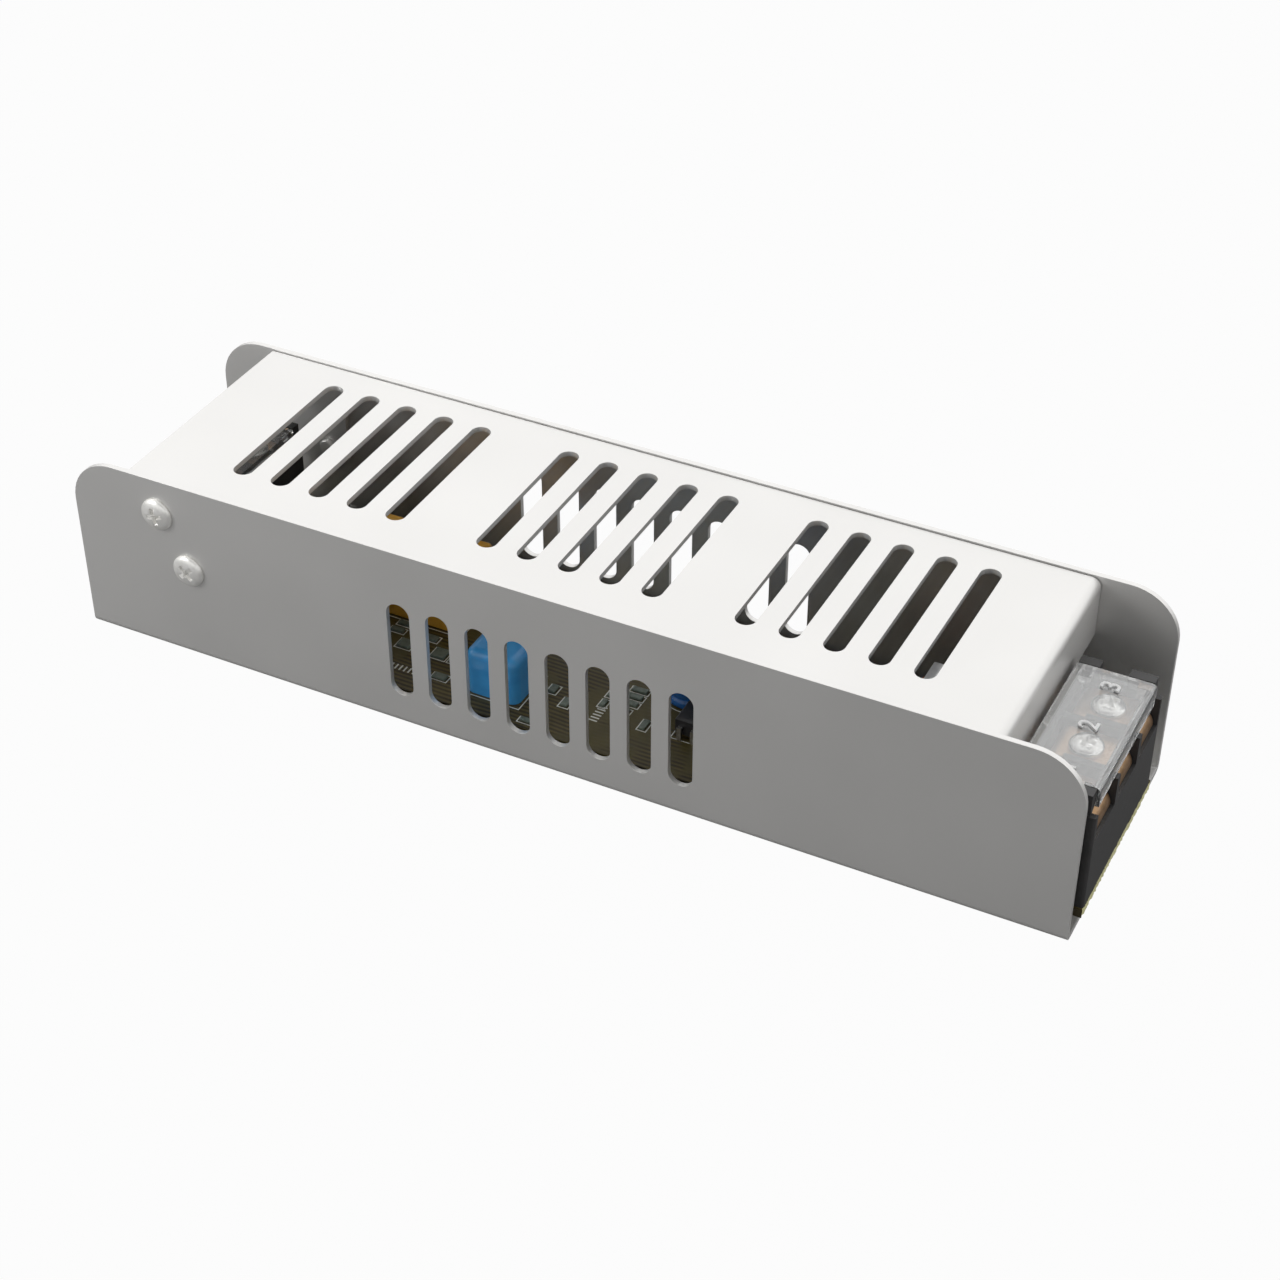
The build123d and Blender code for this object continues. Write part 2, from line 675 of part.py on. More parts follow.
# Transformer
core_x, core_y = middle(transformer_core)
core_length = transformer_core[2] - transformer_core[0]
core_depth = transformer_core[3] - transformer_core[1]
core_bottom = board_top + transformer_lift
window_bottom = core_bottom + transformer_yoke
window_height = transformer_core[4] - 2 * transformer_yoke
window_length = core_length - 2 * transformer_side_leg
with BuildPart() as transformer_ferrite:
    box_on_board(transformer_core, transformer_lift)
    with Locations((core_x, core_y, window_bottom)):
        Box(window_length, 2 * core_depth, window_height, mode=Mode.SUBTRACT,
            align=(Align.CENTER, Align.CENTER, Align.MIN))
        Box(transformer_middle_leg, core_depth, window_height, align=(Align.CENTER, Align.CENTER, Align.MIN))
transformer_ferrite.part.label = "transformer_core"
export_step(transformer_ferrite.part, "parts/transformer_core.step")

with BuildPart() as transformer_coil:
    with BuildSketch(Plane.XY.offset(window_bottom)):
        with Locations((core_x, core_y)):
            RectangleRounded(window_length - 2 * transformer_coil_gap, transformer_coil_width,
                             transformer_coil_edge)
            Rectangle(transformer_middle_leg + 2 * transformer_coil_gap,
                      core_depth + 2 * transformer_coil_gap, mode=Mode.SUBTRACT)
    extrude(amount=window_height)
transformer_coil.part.label = "transformer_coil"
export_step(transformer_coil.part, "parts/transformer_coil.step")

with BuildPart() as transformer_rail:
    Box(transformer_rail_length, transformer_rail_width, window_bottom - board_top,
        align=(Align.CENTER, Align.CENTER, Align.MIN))
transformer_rails = Compound(
    label="transformer_rails",
    children=[
        transformer_rail.part.moved(
            Location((core_x, core_y + side * (transformer_coil_width - transformer_rail_width) / 2,
                      board_top)))
        for side in (-1, 1)
    ],
)
export_step(transformer_rails, "parts/transformer_rails.step")

# Line choke
with BuildPart() as line_choke_ring:
    with Locations((*line_choke_place, board_top)):
        Box(line_choke_thickness, line_choke_width, line_choke_height,
            align=(Align.CENTER, Align.CENTER, Align.MIN))
    with Locations((*line_choke_place, board_top + line_choke_height / 2)):
        Box(2 * line_choke_thickness, line_choke_width - 2 * line_choke_leg,
            line_choke_height - 2 * line_choke_yoke, mode=Mode.SUBTRACT)
    fillet(edges().filter_by(Axis.X).group_by(Axis.Z)[-1], radius=line_choke_edge)
line_choke_ring.part.label = "line_choke_core"
export_step(line_choke_ring.part, "parts/line_choke_core.step")

for number, side in ((1, -1), (2, 1)):
    with BuildPart() as line_choke_winding:
        with BuildSketch(Plane.XY.offset(board_top + line_choke_yoke)):
            with Locations((line_choke_place[0],
                            line_choke_place[1] + side * (line_choke_width - line_choke_leg) / 2)):
                RectangleRounded(line_choke_thickness + 2 * line_choke_coil,
                                 line_choke_leg + 2 * line_choke_coil, line_choke_edge)
                Rectangle(line_choke_thickness + 2 * line_choke_coil_gap,
                          line_choke_leg + 2 * line_choke_coil_gap, mode=Mode.SUBTRACT)
        extrude(amount=line_choke_height - 2 * line_choke_yoke)
    line_choke_winding.part.label = f"line_choke_coil_{number}"
    export_step(line_choke_winding.part, f"parts/line_choke_coil_{number}.step")

# Output choke
with BuildPart() as output_choke_ring:
    with Locations((*output_choke_place, board_top + output_choke_wire)):
        Cylinder(output_choke_radius, output_choke_height, align=(Align.CENTER, Align.CENTER, Align.MIN))
        Cylinder(output_choke_hole_radius, output_choke_height, align=(Align.CENTER, Align.CENTER, Align.MIN),
                 mode=Mode.SUBTRACT)
output_choke_ring.part.label = "output_choke_core"
export_step(output_choke_ring.part, "parts/output_choke_core.step")

window_inside = output_choke_hole_radius - output_choke_gap
with BuildPart() as output_choke_turn:
    with BuildSketch(Plane.XZ):
        with Locations((window_inside - output_choke_wire, 0)):
            Rectangle(output_choke_radius - window_inside + 2 * output_choke_wire,
                      output_choke_height + 2 * output_choke_wire, align=(Align.MIN, Align.MIN))
        with Locations((window_inside, output_choke_wire)):
            Rectangle(output_choke_radius - window_inside, output_choke_height,
                      align=(Align.MIN, Align.MIN), mode=Mode.SUBTRACT)
    extrude(amount=output_choke_wire / 2, both=True)
output_choke_winding = Compound(
    label="output_choke_winding",
    children=[
        output_choke_turn.part.moved(
            Location((*output_choke_place, board_top), (0, 0, turn * output_choke_turn_angle)))
        for turn in range(output_choke_turns)
    ],
)
export_step(output_choke_winding, "parts/output_choke_winding.step")

# Electrolytic capacitors: one lying in a saddle, three upright
bulk_capacitor = can(bulk_radius, bulk_length).moved(
    Location((bulk_place[0] + bulk_length / 2, bulk_place[1], board_top + bulk_lift + bulk_radius), (0, -90, 0)))
bulk_capacitor.label = "bulk_capacitor"
export_step(bulk_capacitor, "parts/bulk_capacitor.step")

with BuildPart() as bulk_saddle:
    with Locations((*bulk_place, board_top)):
        Box(bulk_saddle_length, bulk_saddle_width, bulk_saddle_height,
            align=(Align.CENTER, Align.CENTER, Align.MIN))
    with Locations((*bulk_place, board_top + bulk_lift + bulk_radius)):
        Cylinder(bulk_radius + bulk_saddle_gap, bulk_length, rotation=(0, 90, 0), mode=Mode.SUBTRACT)
bulk_saddle.part.label = "bulk_saddle"
export_step(bulk_saddle.part, "parts/bulk_saddle.step")

upright_cans = [(f"output_capacitor_{number}", output_can_radius, output_can_height, place)
                for number, place in enumerate(output_can_places, 1)]
upright_cans.append(("auxiliary_capacitor", auxiliary_can_radius, auxiliary_can_height, auxiliary_can_place))
for name, radius, tall, place in upright_cans:
    upright = can(radius, tall).moved(Location((*place, board_top)))
    upright.label = name
    export_step(upright, f"parts/{name}.step")

# Fuse: a tube between two caps that stand on their leads
fuse_axis = board_top + fuse_lift + fuse_radius + fuse_cap_wall
with BuildPart() as fuse_tube:
    with Locations((*fuse_place, fuse_axis)):
        Cylinder(fuse_radius, fuse_length, rotation=(0, 90, 0))
fuse_tube.part.label = "fuse_tube"
export_step(fuse_tube.part, "parts/fuse_tube.step")

with BuildPart() as fuse_caps:
    for side in (-1, 1):
        cap_x = fuse_place[0] + side * (fuse_length / 2 + fuse_cap_wall - fuse_cap_length / 2)
        with Locations((cap_x, fuse_place[1], fuse_axis)):
            Cylinder(fuse_radius + fuse_cap_wall, fuse_cap_length, rotation=(0, 90, 0))
        with Locations((cap_x, fuse_place[1], board_top)):
            Cylinder(lead_radius, fuse_lift + fuse_cap_wall, align=(Align.CENTER, Align.CENTER, Align.MIN))
    with Locations((*fuse_place, fuse_axis)):
        Cylinder(fuse_radius + clinch_gap, fuse_length, rotation=(0, 90, 0), mode=Mode.SUBTRACT)
fuse_caps.part.label = "fuse_caps"
export_step(fuse_caps.part, "parts/fuse_caps.step")

# Inrush thermistor and safety capacitor
disc(thermistor_radius, thermistor_thickness, "thermistor", thermistor_place)
disc(y_capacitor_radius, y_capacitor_thickness, "y_capacitor", y_capacitor_place)

# Axial resistors, lying across the board
with BuildPart() as resistor:
    Cylinder(resistor_radius, resistor_length, rotation=(90, 0, 0))
    chamfer(edges().filter_by(GeomType.CIRCLE), length=resistor_edge)
resistors = Compound(
    label="resistors",
    children=[resistor.part.moved(Location((x, y, board_top + resistor_radius))) for x, y in resistor_places],
)
export_step(resistors, "parts/resistors.step")
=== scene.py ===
# %% [markdown]
# # A slim enclosed power supply
# The solids of this supply come from a CAD model, already at their real size and place. This lesson
# dresses them: it rounds the sheet metal's edges, winds the coils, prints the board and gives each
# piece the finish of its real material.

# %% Load the solids
import json
import math
import random

import bmesh
import bpy
from mathutils import Matrix, Vector


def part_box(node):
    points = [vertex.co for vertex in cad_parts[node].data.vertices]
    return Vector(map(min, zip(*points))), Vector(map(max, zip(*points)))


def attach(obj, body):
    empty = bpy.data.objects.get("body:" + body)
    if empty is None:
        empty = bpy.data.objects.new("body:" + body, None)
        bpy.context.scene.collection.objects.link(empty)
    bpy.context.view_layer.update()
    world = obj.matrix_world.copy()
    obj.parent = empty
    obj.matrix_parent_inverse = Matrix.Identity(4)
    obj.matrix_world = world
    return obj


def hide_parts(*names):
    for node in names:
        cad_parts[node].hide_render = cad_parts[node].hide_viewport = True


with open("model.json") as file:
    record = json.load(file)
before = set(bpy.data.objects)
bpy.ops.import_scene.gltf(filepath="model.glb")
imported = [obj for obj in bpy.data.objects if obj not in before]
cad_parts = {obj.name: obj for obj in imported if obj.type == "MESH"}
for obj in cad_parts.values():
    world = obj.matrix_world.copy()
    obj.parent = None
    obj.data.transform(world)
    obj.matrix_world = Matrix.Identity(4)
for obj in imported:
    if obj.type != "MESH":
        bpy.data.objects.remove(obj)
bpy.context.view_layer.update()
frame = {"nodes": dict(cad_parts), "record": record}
nodes = frame["nodes"]
record = frame["record"]
body_of_node = {node: body for body, held in record["behaviour"]["bodies"].items() for node in held}
slot_of_node = {part["node"]: part["material_slot"] for part in record["subparts"]}
mm = 0.001  # the scene is in metres, and the lengths below are in millimetres

# %% [markdown]
# ## Camera
# A camera that matches a photograph needs the right lens as well as the right place. The upright
# edges draw together downwards, which shows a fairly close camera that looks down past the output end.
# The numbers below were fitted until the case's straight edges and corners lay over those of the photograph.

# %% Camera
lens = bpy.data.cameras.new("studio_camera")
camera = bpy.data.objects.new("studio_camera", lens)
bpy.context.collection.objects.link(camera)
bpy.context.scene.camera = camera
lens.sensor_fit = "HORIZONTAL"
lens.sensor_width = 36.0
lens.lens = 69.98
lens.clip_start = 0.01
camera.location = (0.161114, -0.308095, 0.275492)
camera.rotation_euler = [math.radians(turn) for turn in (52.8143, -0.1062, 26.7312)]

# %% [markdown]
# ## A toolbox for materials
# Every finish below is a small network of nodes round one Principled shader, and a few helpers keep them
# readable. One turns a hex colour to the linear values that a shader works in, one adds a node with its
# settings and links, and one starts a material with its shader's own fixed values. Hardly any real surface
# is quite even, so most finishes drift between two near tones, and the same noise varies their gloss and
# raises some of them a little.

# %% Colour, nodes and the mottled finish
def linear(hex_colour):
    """An sRGB hex colour as linear red, green, blue and alpha."""
    parts = [int(hex_colour[i:i + 2], 16) / 255 for i in (0, 2, 4)]
    return (*[c / 12.92 if c <= 0.04045 else ((c + 0.055) / 1.055) ** 2.4 for c in parts], 1.0)


def add_node(tree, kind, settings=None, links=None):
    """Adds a node, sets its properties and sockets, and links its sockets from other nodes' outputs."""
    node = tree.nodes.new(kind)
    for key, value in (settings or {}).items():
        if isinstance(key, int) or key in node.inputs:
            node.inputs[key].default_value = value
        else:
            setattr(node, key, value)
    for key, source in (links or {}).items():
        tree.links.new(source, node.inputs[key])
    return node


def start_material(name, **fixed):
    """A new material with its shader's constant sockets set. Returns it, its tree and its shader."""
    material = bpy.data.materials.new(name)
    material.use_nodes = True
    shader = material.node_tree.nodes["Principled BSDF"]
    for socket, value in fixed.items():
        shader.inputs[socket.replace("_", " ")].default_value = value
    return material, material.node_tree, shader


def two_tones(tree, shader, low, high, grain_mm, detail=3.0):
    """Soft mottling between two near colours, from noise whose grains are grain_mm across.

    Returns two outputs to link from: the coordinates that the noise reads, and the noise itself.
    """
    where = add_node(tree, "ShaderNodeTexCoord").outputs["Object"]
    noise = add_node(tree, "ShaderNodeTexNoise", {"Scale": 1000 / grain_mm, "Detail": detail},
                     {"Vector": where})
    ramp = add_node(tree, "ShaderNodeValToRGB", links={"Fac": noise.outputs["Fac"]})
    first, last = ramp.color_ramp.elements
    first.position, last.position = 0.35, 0.65  # most of the noise lies between these
    first.color, last.color = linear(low), linear(high)
    tree.links.new(ramp.outputs["Color"], shader.inputs["Base Color"])
    return where, noise.outputs["Fac"]


def gloss_and_relief(tree, shader, height, roughness=None, raised_mm=None, strength=1.0):
    """Spreads the roughness between two values, and raises the surface by raised_mm where height is 1."""
    if roughness:
        spread = add_node(tree, "ShaderNodeMapRange", {"To Min": roughness[0], "To Max": roughness[1]},
                          {"Value": height})
        tree.links.new(spread.outputs["Result"], shader.inputs["Roughness"])
    if raised_mm:
        bump = add_node(tree, "ShaderNodeBump", {"Strength": strength, "Distance": raised_mm * mm},
                        {"Height": height})
        tree.links.new(bump.outputs["Normal"], shader.inputs["Normal"])


def mottled(name, low, high, grain_mm, roughness=None, raised_mm=None, strength=1.0, detail=3.0, **fixed):
    """A material whose tone, gloss and relief all follow one noise."""
    material, tree, shader = start_material(name, **fixed)
    cloud = two_tones(tree, shader, low, high, grain_mm, detail)[1]
    gloss_and_relief(tree, shader, cloud, roughness, raised_mm, strength)
    return material


# %% [markdown]
# ## Sheet metal
# The case is cold-rolled steel sheet under an even satin plating. It has no visible grain: what tells the
# eye that it is metal is a soft, blurred mirror image, brighter where it faces the lamps. The plating is
# slightly milky, so it scatters a part of the light like paint does, and the metallic value stays below 1.
# The gloss drifts a little over centimetres, and there is almost no colour. Like every metal here, it keeps
# the shader's own index of refraction.

# %% Plated sheet steel
sheet_steel = mottled("satin_plated_steel", "DAD9D7", "DDDCDA", 25.0, (0.46, 0.49), detail=1.0,
                      Metallic=0.75)

# %% [markdown]
# ## Screws, leads and clamps
# Small metal parts differ mostly in gloss: the brighter the plating, the sharper the room stands in it.
# Each comment says how the surface was made and what the eye gets from that.

# %% Zinc, tin, bronze passivation, copper and aluminium
# Electroplated zinc is bright, with a slightly uneven gloss from the bath.
zinc = mottled("bright_zinc_plate", "D6D5D1", "E4E3E0", 1.5, (0.14, 0.26), Metallic=1.0)

# A thicker passivation over zinc is milky, and stays pale where bare metal would mirror the floor.
milky_zinc = mottled("milky_zinc_passivation", "E4E3DF", "F0EFEC", 1.5, (0.28, 0.38), Metallic=0.5)

# Leads dipped in tin are softer and greyer than zinc, and faintly puckered.
tin = mottled("dipped_tin", "D2D1CC", "E2E1DD", 0.8, (0.25, 0.4), 0.02, Metallic=1.0)

# The saddle clamps' passivation is a thin warm film, so the steel under it shines like dull bronze.
bronze = mottled("bronze_passivated_steel", "9C7D5B", "AD8E70", 1.2, (0.32, 0.42), Metallic=0.9)

# Drawn copper shines deep and warm, with the enamel's sharper shine on top.
copper = mottled("enamelled_copper_wire", "B4683A", "C67B48", 1.0, (0.22, 0.34), Metallic=1.0,
                 Coat_Weight=0.6, Coat_Roughness=0.12)

# Extruded aluminium has lines from its die, 3.3 mm long and 0.25 mm across, which draw out each highlight.
mill_aluminium, tree, shader = start_material("mill_finish_aluminium", Metallic=1.0)
where = two_tones(tree, shader, "C9CACC", "D8D9DA", 2.0)[0]
lines_per_metre = (300.0, 300.0, 4000.0)
pulled = add_node(tree, "ShaderNodeMapping", {"Scale": lines_per_metre}, {"Vector": where})
lines = add_node(tree, "ShaderNodeTexNoise", {"Scale": 1.0, "Detail": 2.0},
                 {"Vector": pulled.outputs["Vector"]})
gloss_and_relief(tree, shader, lines.outputs["Fac"], (0.25, 0.45), 0.004)

# %% [markdown]
# ## Plastics, coatings and glass
# Moulded cases, shrunk sleeves and dipped coatings differ in gloss more than in colour. Clear plastic is
# told by what it mirrors, so the lids' hard coat matters more than the plastic under it.

# %% Moulded and clear plastics
# Flame-retardant nylon is moulded against spark-eroded steel: black and half matt, with grains 0.1 mm wide.
nylon, tree, shader = start_material("moulded_black_nylon", IOR=1.53)
where, cloud = two_tones(tree, shader, "2C2C2C", "343333", 2.5)
gloss_and_relief(tree, shader, cloud, (0.42, 0.52))
sparks_per_metre = 9000.0
sparks = add_node(tree, "ShaderNodeTexNoise", {"Scale": sparks_per_metre, "Detail": 2.0}, {"Vector": where})
gloss_and_relief(tree, shader, sparks.outputs["Fac"], raised_mm=0.006)

# Polished polycarbonate is clear, and its scratch-resistant coat mirrors the room strongly.
polycarbonate = mottled("clear_polycarbonate", "F2F3F3", "F8F9F9", 6.0, detail=1.0, IOR=1.58,
                        Transmission_Weight=0.95, Roughness=0.0, Coat_Weight=1.0, Coat_IOR=1.8,
                        Coat_Roughness=0.0)

# Where the mould was frosted, the same plastic is pale and milky, so that raised numbers can be read.
frosted = mottled("frosted_polycarbonate", "F4F5F5", "FBFBFB", 0.5, (0.3, 0.4), IOR=1.58,
                  Transmission_Weight=0.35)

# Epoxy packages are pressed with glass powder in them: a dry black with hardly any shine.
epoxy = mottled("moulded_black_epoxy", "1E1E20", "27272A", 0.8, (0.4, 0.55), 0.01, IOR=1.55)

# A capacitor's moulded case has an even colour and a calm half gloss.
ochre_case = mottled("ochre_capacitor_case", "D8A036", "E0AA40", 4.0, (0.28, 0.36), IOR=1.5)

# %% Coatings, sleeves, tape and film
# A dipped coat is glossy and a little lumpy, like thick paint that ran before it set.
blue_dip = mottled("blue_epoxy_dip", "3C98DA", "45A4E4", 3.0, (0.25, 0.35), 0.06, 0.5, IOR=1.52,
                   Coat_Weight=0.4, Coat_Roughness=0.1)
green_dip = mottled("green_epoxy_dip", "2B4A30", "34573A", 1.2, (0.3, 0.45), 0.05, 0.6, IOR=1.52)

# A sleeve shrunk over a can is tight and smooth, so it has a clean, narrow highlight.
blue_sleeve = mottled("blue_shrunk_sleeve", "1F5C9E", "2566AA", 2.0, (0.2, 0.28), IOR=1.53)
dark_sleeve = mottled("dark_shrunk_sleeve", "1B2026", "21262D", 2.0, (0.2, 0.3), IOR=1.53)

# Brushed-on lacquer gives a resistor a soft, even shine.
resistor_lacquer = mottled("resistor_lacquer", "9EBFB8", "A9C9C2", 0.8, (0.3, 0.4), IOR=1.5)

# Sintered ferrite is a dense ceramic: charcoal grey, fine-grained and nearly matt.
ferrite = mottled("sintered_ferrite", "2F2F32", "3B3B3E", 0.35, (0.45, 0.65), 0.02, IOR=2.2)

# Polyester tape and film are rolled smooth: the tape is glossy, the film slightly cloudy.
winding_tape = mottled("polyester_winding_tape", "C9A023", "D4AB2D", 2.0, (0.18, 0.3), IOR=1.6)
film = mottled("insulating_film", "D8D7CB", "E0DFD4", 8.0, (0.2, 0.3), IOR=1.6)

# Drawn glass tube is clear, and its faint waves bend what lies inside.
fuse_glass, tree, shader = start_material("fuse_glass", IOR=1.5, Transmission_Weight=1.0, Roughness=0.02,
                                          Base_Color=linear("EEF4F2"))
where = add_node(tree, "ShaderNodeTexCoord").outputs["Object"]
waves_per_metre = 400.0
waves = add_node(tree, "ShaderNodeTexNoise", {"Scale": waves_per_metre}, {"Vector": where})
gloss_and_relief(tree, shader, waves.outputs["Fac"], raised_mm=0.005, strength=0.3)
print("materials:", len(bpy.data.materials))

# %% [markdown]
# ## The board's laminate
# The board is glass cloth in resin under an olive lacquer. Copper tracks under the lacquer show as lighter,
# raised lines about half a millimetre wide, most of them along the board. A Wave texture bent by its own
# distortion draws them, and broad noise turns some areas into plain copper pours. The snapped ends show
# the pale yellow laminate, found by the direction that the surface faces.

# %% Lacquered laminate
laminate, tree, shader = start_material("lacquered_glass_laminate", IOR=1.45)
where = add_node(tree, "ShaderNodeTexCoord").outputs["Object"]
pours_per_metre, tracks_scale = 110.0, 330.0
drift = add_node(tree, "ShaderNodeTexNoise", {"Scale": pours_per_metre, "Detail": 1.0}, {"Vector": where})
tracks = add_node(tree, "ShaderNodeTexWave", {"Scale": tracks_scale, "Distortion": 5.0, "Detail": 1.0,
                                              "Detail Scale": 0.22, "bands_direction": "Y"},
                  {"Vector": where})
copper_line = add_node(tree, "ShaderNodeValToRGB", links={"Fac": tracks.outputs["Fac"]})
bare, tracked = copper_line.color_ramp.elements
bare.position, tracked.position = 0.35, 0.6
bare.color, tracked.color = linear("362E15"), linear("594E26")
pour = add_node(tree, "ShaderNodeMapRange", {"From Min": 0.52, "From Max": 0.56},
                {"Value": drift.outputs["Fac"]})
faces = add_node(tree, "ShaderNodeMix", {"data_type": "RGBA", 7: linear("524A25")},
                 {0: pour.outputs["Result"], 6: copper_line.outputs["Color"]})
normal = add_node(tree, "ShaderNodeNewGeometry")
facing = add_node(tree, "ShaderNodeSeparateXYZ", links={0: normal.outputs["True Normal"]})
end_on = add_node(tree, "ShaderNodeMath", {"operation": "ABSOLUTE"}, {0: facing.outputs["X"]})
end_share = 0.45  # a face that points this much along X is a snapped end
cut = add_node(tree, "ShaderNodeMath", {"operation": "GREATER_THAN", 1: end_share},
               {0: end_on.outputs["Value"]})
skin = add_node(tree, "ShaderNodeMix", {"data_type": "RGBA", 7: linear("D9D5A2")},
                {0: cut.outputs["Value"], 6: faces.outputs[2]})
tree.links.new(skin.outputs[2], shader.inputs["Base Color"])
gloss_and_relief(tree, shader, tracks.outputs["Fac"], (0.5, 0.38), 0.03, 0.6)

# %% [markdown]
# ## Print, solder and the metals on the board
# The board's print is a thin white ink, and solder is tin that froze on the pads. The cans have a bare
# aluminium top, and rubber under it. The resistors' value is in coloured rings.

# %% Print, solder, rubber and ring colours
# Printed ink is chalky and matt, so it stays white from every side.
print_ink = mottled("white_board_print", "DADBD4", "E6E7E0", 0.4, Roughness=0.6)

# Solder froze with a bright, slightly puckered skin.
solder = mottled("bright_solder", "CFD0CE", "DCDDDB", 0.5, (0.18, 0.34), 0.03, Metallic=1.0)

# Drawn aluminium is silky, between bright zinc and the dull mill finish.
can_aluminium = mottled("drawn_can_aluminium", "D3D4D6", "DEDFE0", 1.5, (0.22, 0.34), Metallic=1.0)

# Rubber takes the light in and gives almost none back.
rubber = mottled("black_rubber_bung", "19191A", "232324", 0.6, (0.6, 0.75), IOR=1.5)

# Fired ceramic is stony grey-green with a low sheen.
chip_ceramic = mottled("fired_chip_ceramic", "59645A", "6B766B", 0.9, (0.35, 0.5), IOR=1.6)

# Ring inks share the lacquer's soft shine, so only their colour sets them off.
ring_inks = [mottled(ink_name, low, high, 0.5, (0.3, 0.4), IOR=1.5) for ink_name, low, high in (
    ("brown_ring_ink", "5A3018", "6A3A1E"), ("black_ring_ink", "1C1B1B", "272626"),
    ("orange_ring_ink", "C8601A", "D56C22"), ("gold_ring_ink", "A98A3C", "B8994A"))]

# %% [markdown]
# ## Dressing the solids
# CAD edges are perfectly sharp, and real ones never are: sheet metal is deburred and mouldings have
# small radii, and these catch the light. A solid whose edges show is copied, its loose triangles are
# joined, and a Bevel modifier rounds its edges. Weighted normals then keep the wide faces even, because
# each corner leans towards the larger of the faces that meet there.

# %% Assign finishes and round edges
finish_of_slot = {
    "sheet_metal": sheet_steel, "plated_screws": zinc, "insulating_film": film, "circuit_board": laminate,
    "terminal_moulding": nylon, "clear_lid": polycarbonate, "ochre_case": ochre_case, "blue_case": blue_dip,
    "black_epoxy": epoxy, "tinned_leads": tin, "heat_sink": mill_aluminium, "ferrite": ferrite,
    "coil_tape": winding_tape, "copper_winding": copper, "dark_sleeve": dark_sleeve,
    "blue_sleeve": blue_sleeve, "fuse_glass": fuse_glass, "green_coating": green_dip,
    "blue_coating": blue_dip, "resistor_coating": resistor_lacquer, "bronze_clamp": bronze,
}
weld = 0.002 * mm  # points closer than this are one
flat = math.radians(0.5)  # faces that differ by less than this are one


def give(piece, *materials):
    """Puts its finish, or several, on a piece."""
    piece.data.materials.clear()
    for material in materials:
        piece.data.materials.append(material)


def shown_as(piece, *node_names):
    """A new piece rides with the body of the solids it stands for, and hides them."""
    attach(piece, body_of_node[node_names[0]])
    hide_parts(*node_names)


def piece_from(form, name, *materials):
    """Makes a piece of a form. Its place is already in its mesh."""
    mesh = bpy.data.meshes.new(name)
    form.to_mesh(mesh)
    form.free()
    mesh.shade_smooth()
    piece = bpy.data.objects.new(name, mesh)
    bpy.context.collection.objects.link(piece)
    give(piece, *materials)
    return piece


def round_edges(piece, edge_mm, segments=2, sharp=30):
    """Rounds a piece's sharp edges by edge_mm and keeps its wide faces even."""
    bevel = piece.modifiers.new("edge", "BEVEL")
    bevel.width = edge_mm * mm
    bevel.segments = segments
    bevel.limit_method = "ANGLE"
    bevel.angle_limit = math.radians(sharp)
    piece.modifiers.new("even_faces", "WEIGHTED_NORMAL")


def joined_form(node_name):
    """A solid's form with its loose triangles joined into flat faces."""
    form = bmesh.new()
    form.from_mesh(nodes[node_name].data)
    bmesh.ops.remove_doubles(form, verts=form.verts, dist=weld)
    bmesh.ops.dissolve_limit(form, angle_limit=flat, verts=form.verts, edges=form.edges, delimit={"NORMAL"})
    return form


def rounded_copy(node_name, edge_mm, segments):
    """A joined copy of a solid with its sharp edges rounded by edge_mm."""
    finish = finish_of_slot[slot_of_node[node_name]]
    piece = piece_from(joined_form(node_name), f"{node_name}_finished", finish)
    round_edges(piece, edge_mm, segments)
    shown_as(piece, node_name)


for node_name, solid in nodes.items():
    give(solid, finish_of_slot[slot_of_node[node_name]])

edges_mm = {
    "chassis": 0.27, "cover": 0.24, "output_terminal_body": 0.14, "input_terminal_body": 0.14,
    "output_lid": 0.12, "input_lid": 0.12, "heat_sink": 0.1, "transformer_core": 0.25,
    "transformer_rails": 0.2, "transformer_coil": 0.35, "mosfet": 0.12, "output_rectifier": 0.12,
    "optocoupler": 0.1, "bridge_rectifier": 0.1, "board_screws": 0.12, "bulk_saddle": 0.2,
    "line_choke_core": 0.3, "x_capacitor": 0.15, "rectifier_screw": 0.12,
}
for end in ("output", "input"):
    for cell in (1, 2, 3):
        edges_mm[f"{end}_clamp_{cell}"] = 0.1
        edges_mm[f"{end}_contact_{cell}"] = 0.06
for node_name, edge_mm in edges_mm.items():
    rounded_copy(node_name, edge_mm, segments=4 if node_name in ("chassis", "cover") else 2)
print("edges rounded on", len(edges_mm), "pieces")

# %% [markdown]
# ## Numbers on the lids
# The terminals carry raised numbers, moulded in the lid over each screw and read from the wires' side.
# A text object gives the outline, and it becomes a mesh before it is turned and put in place. The two
# blocks face opposite ways: each is described by its outer face in X, its middle in Y and its direction.

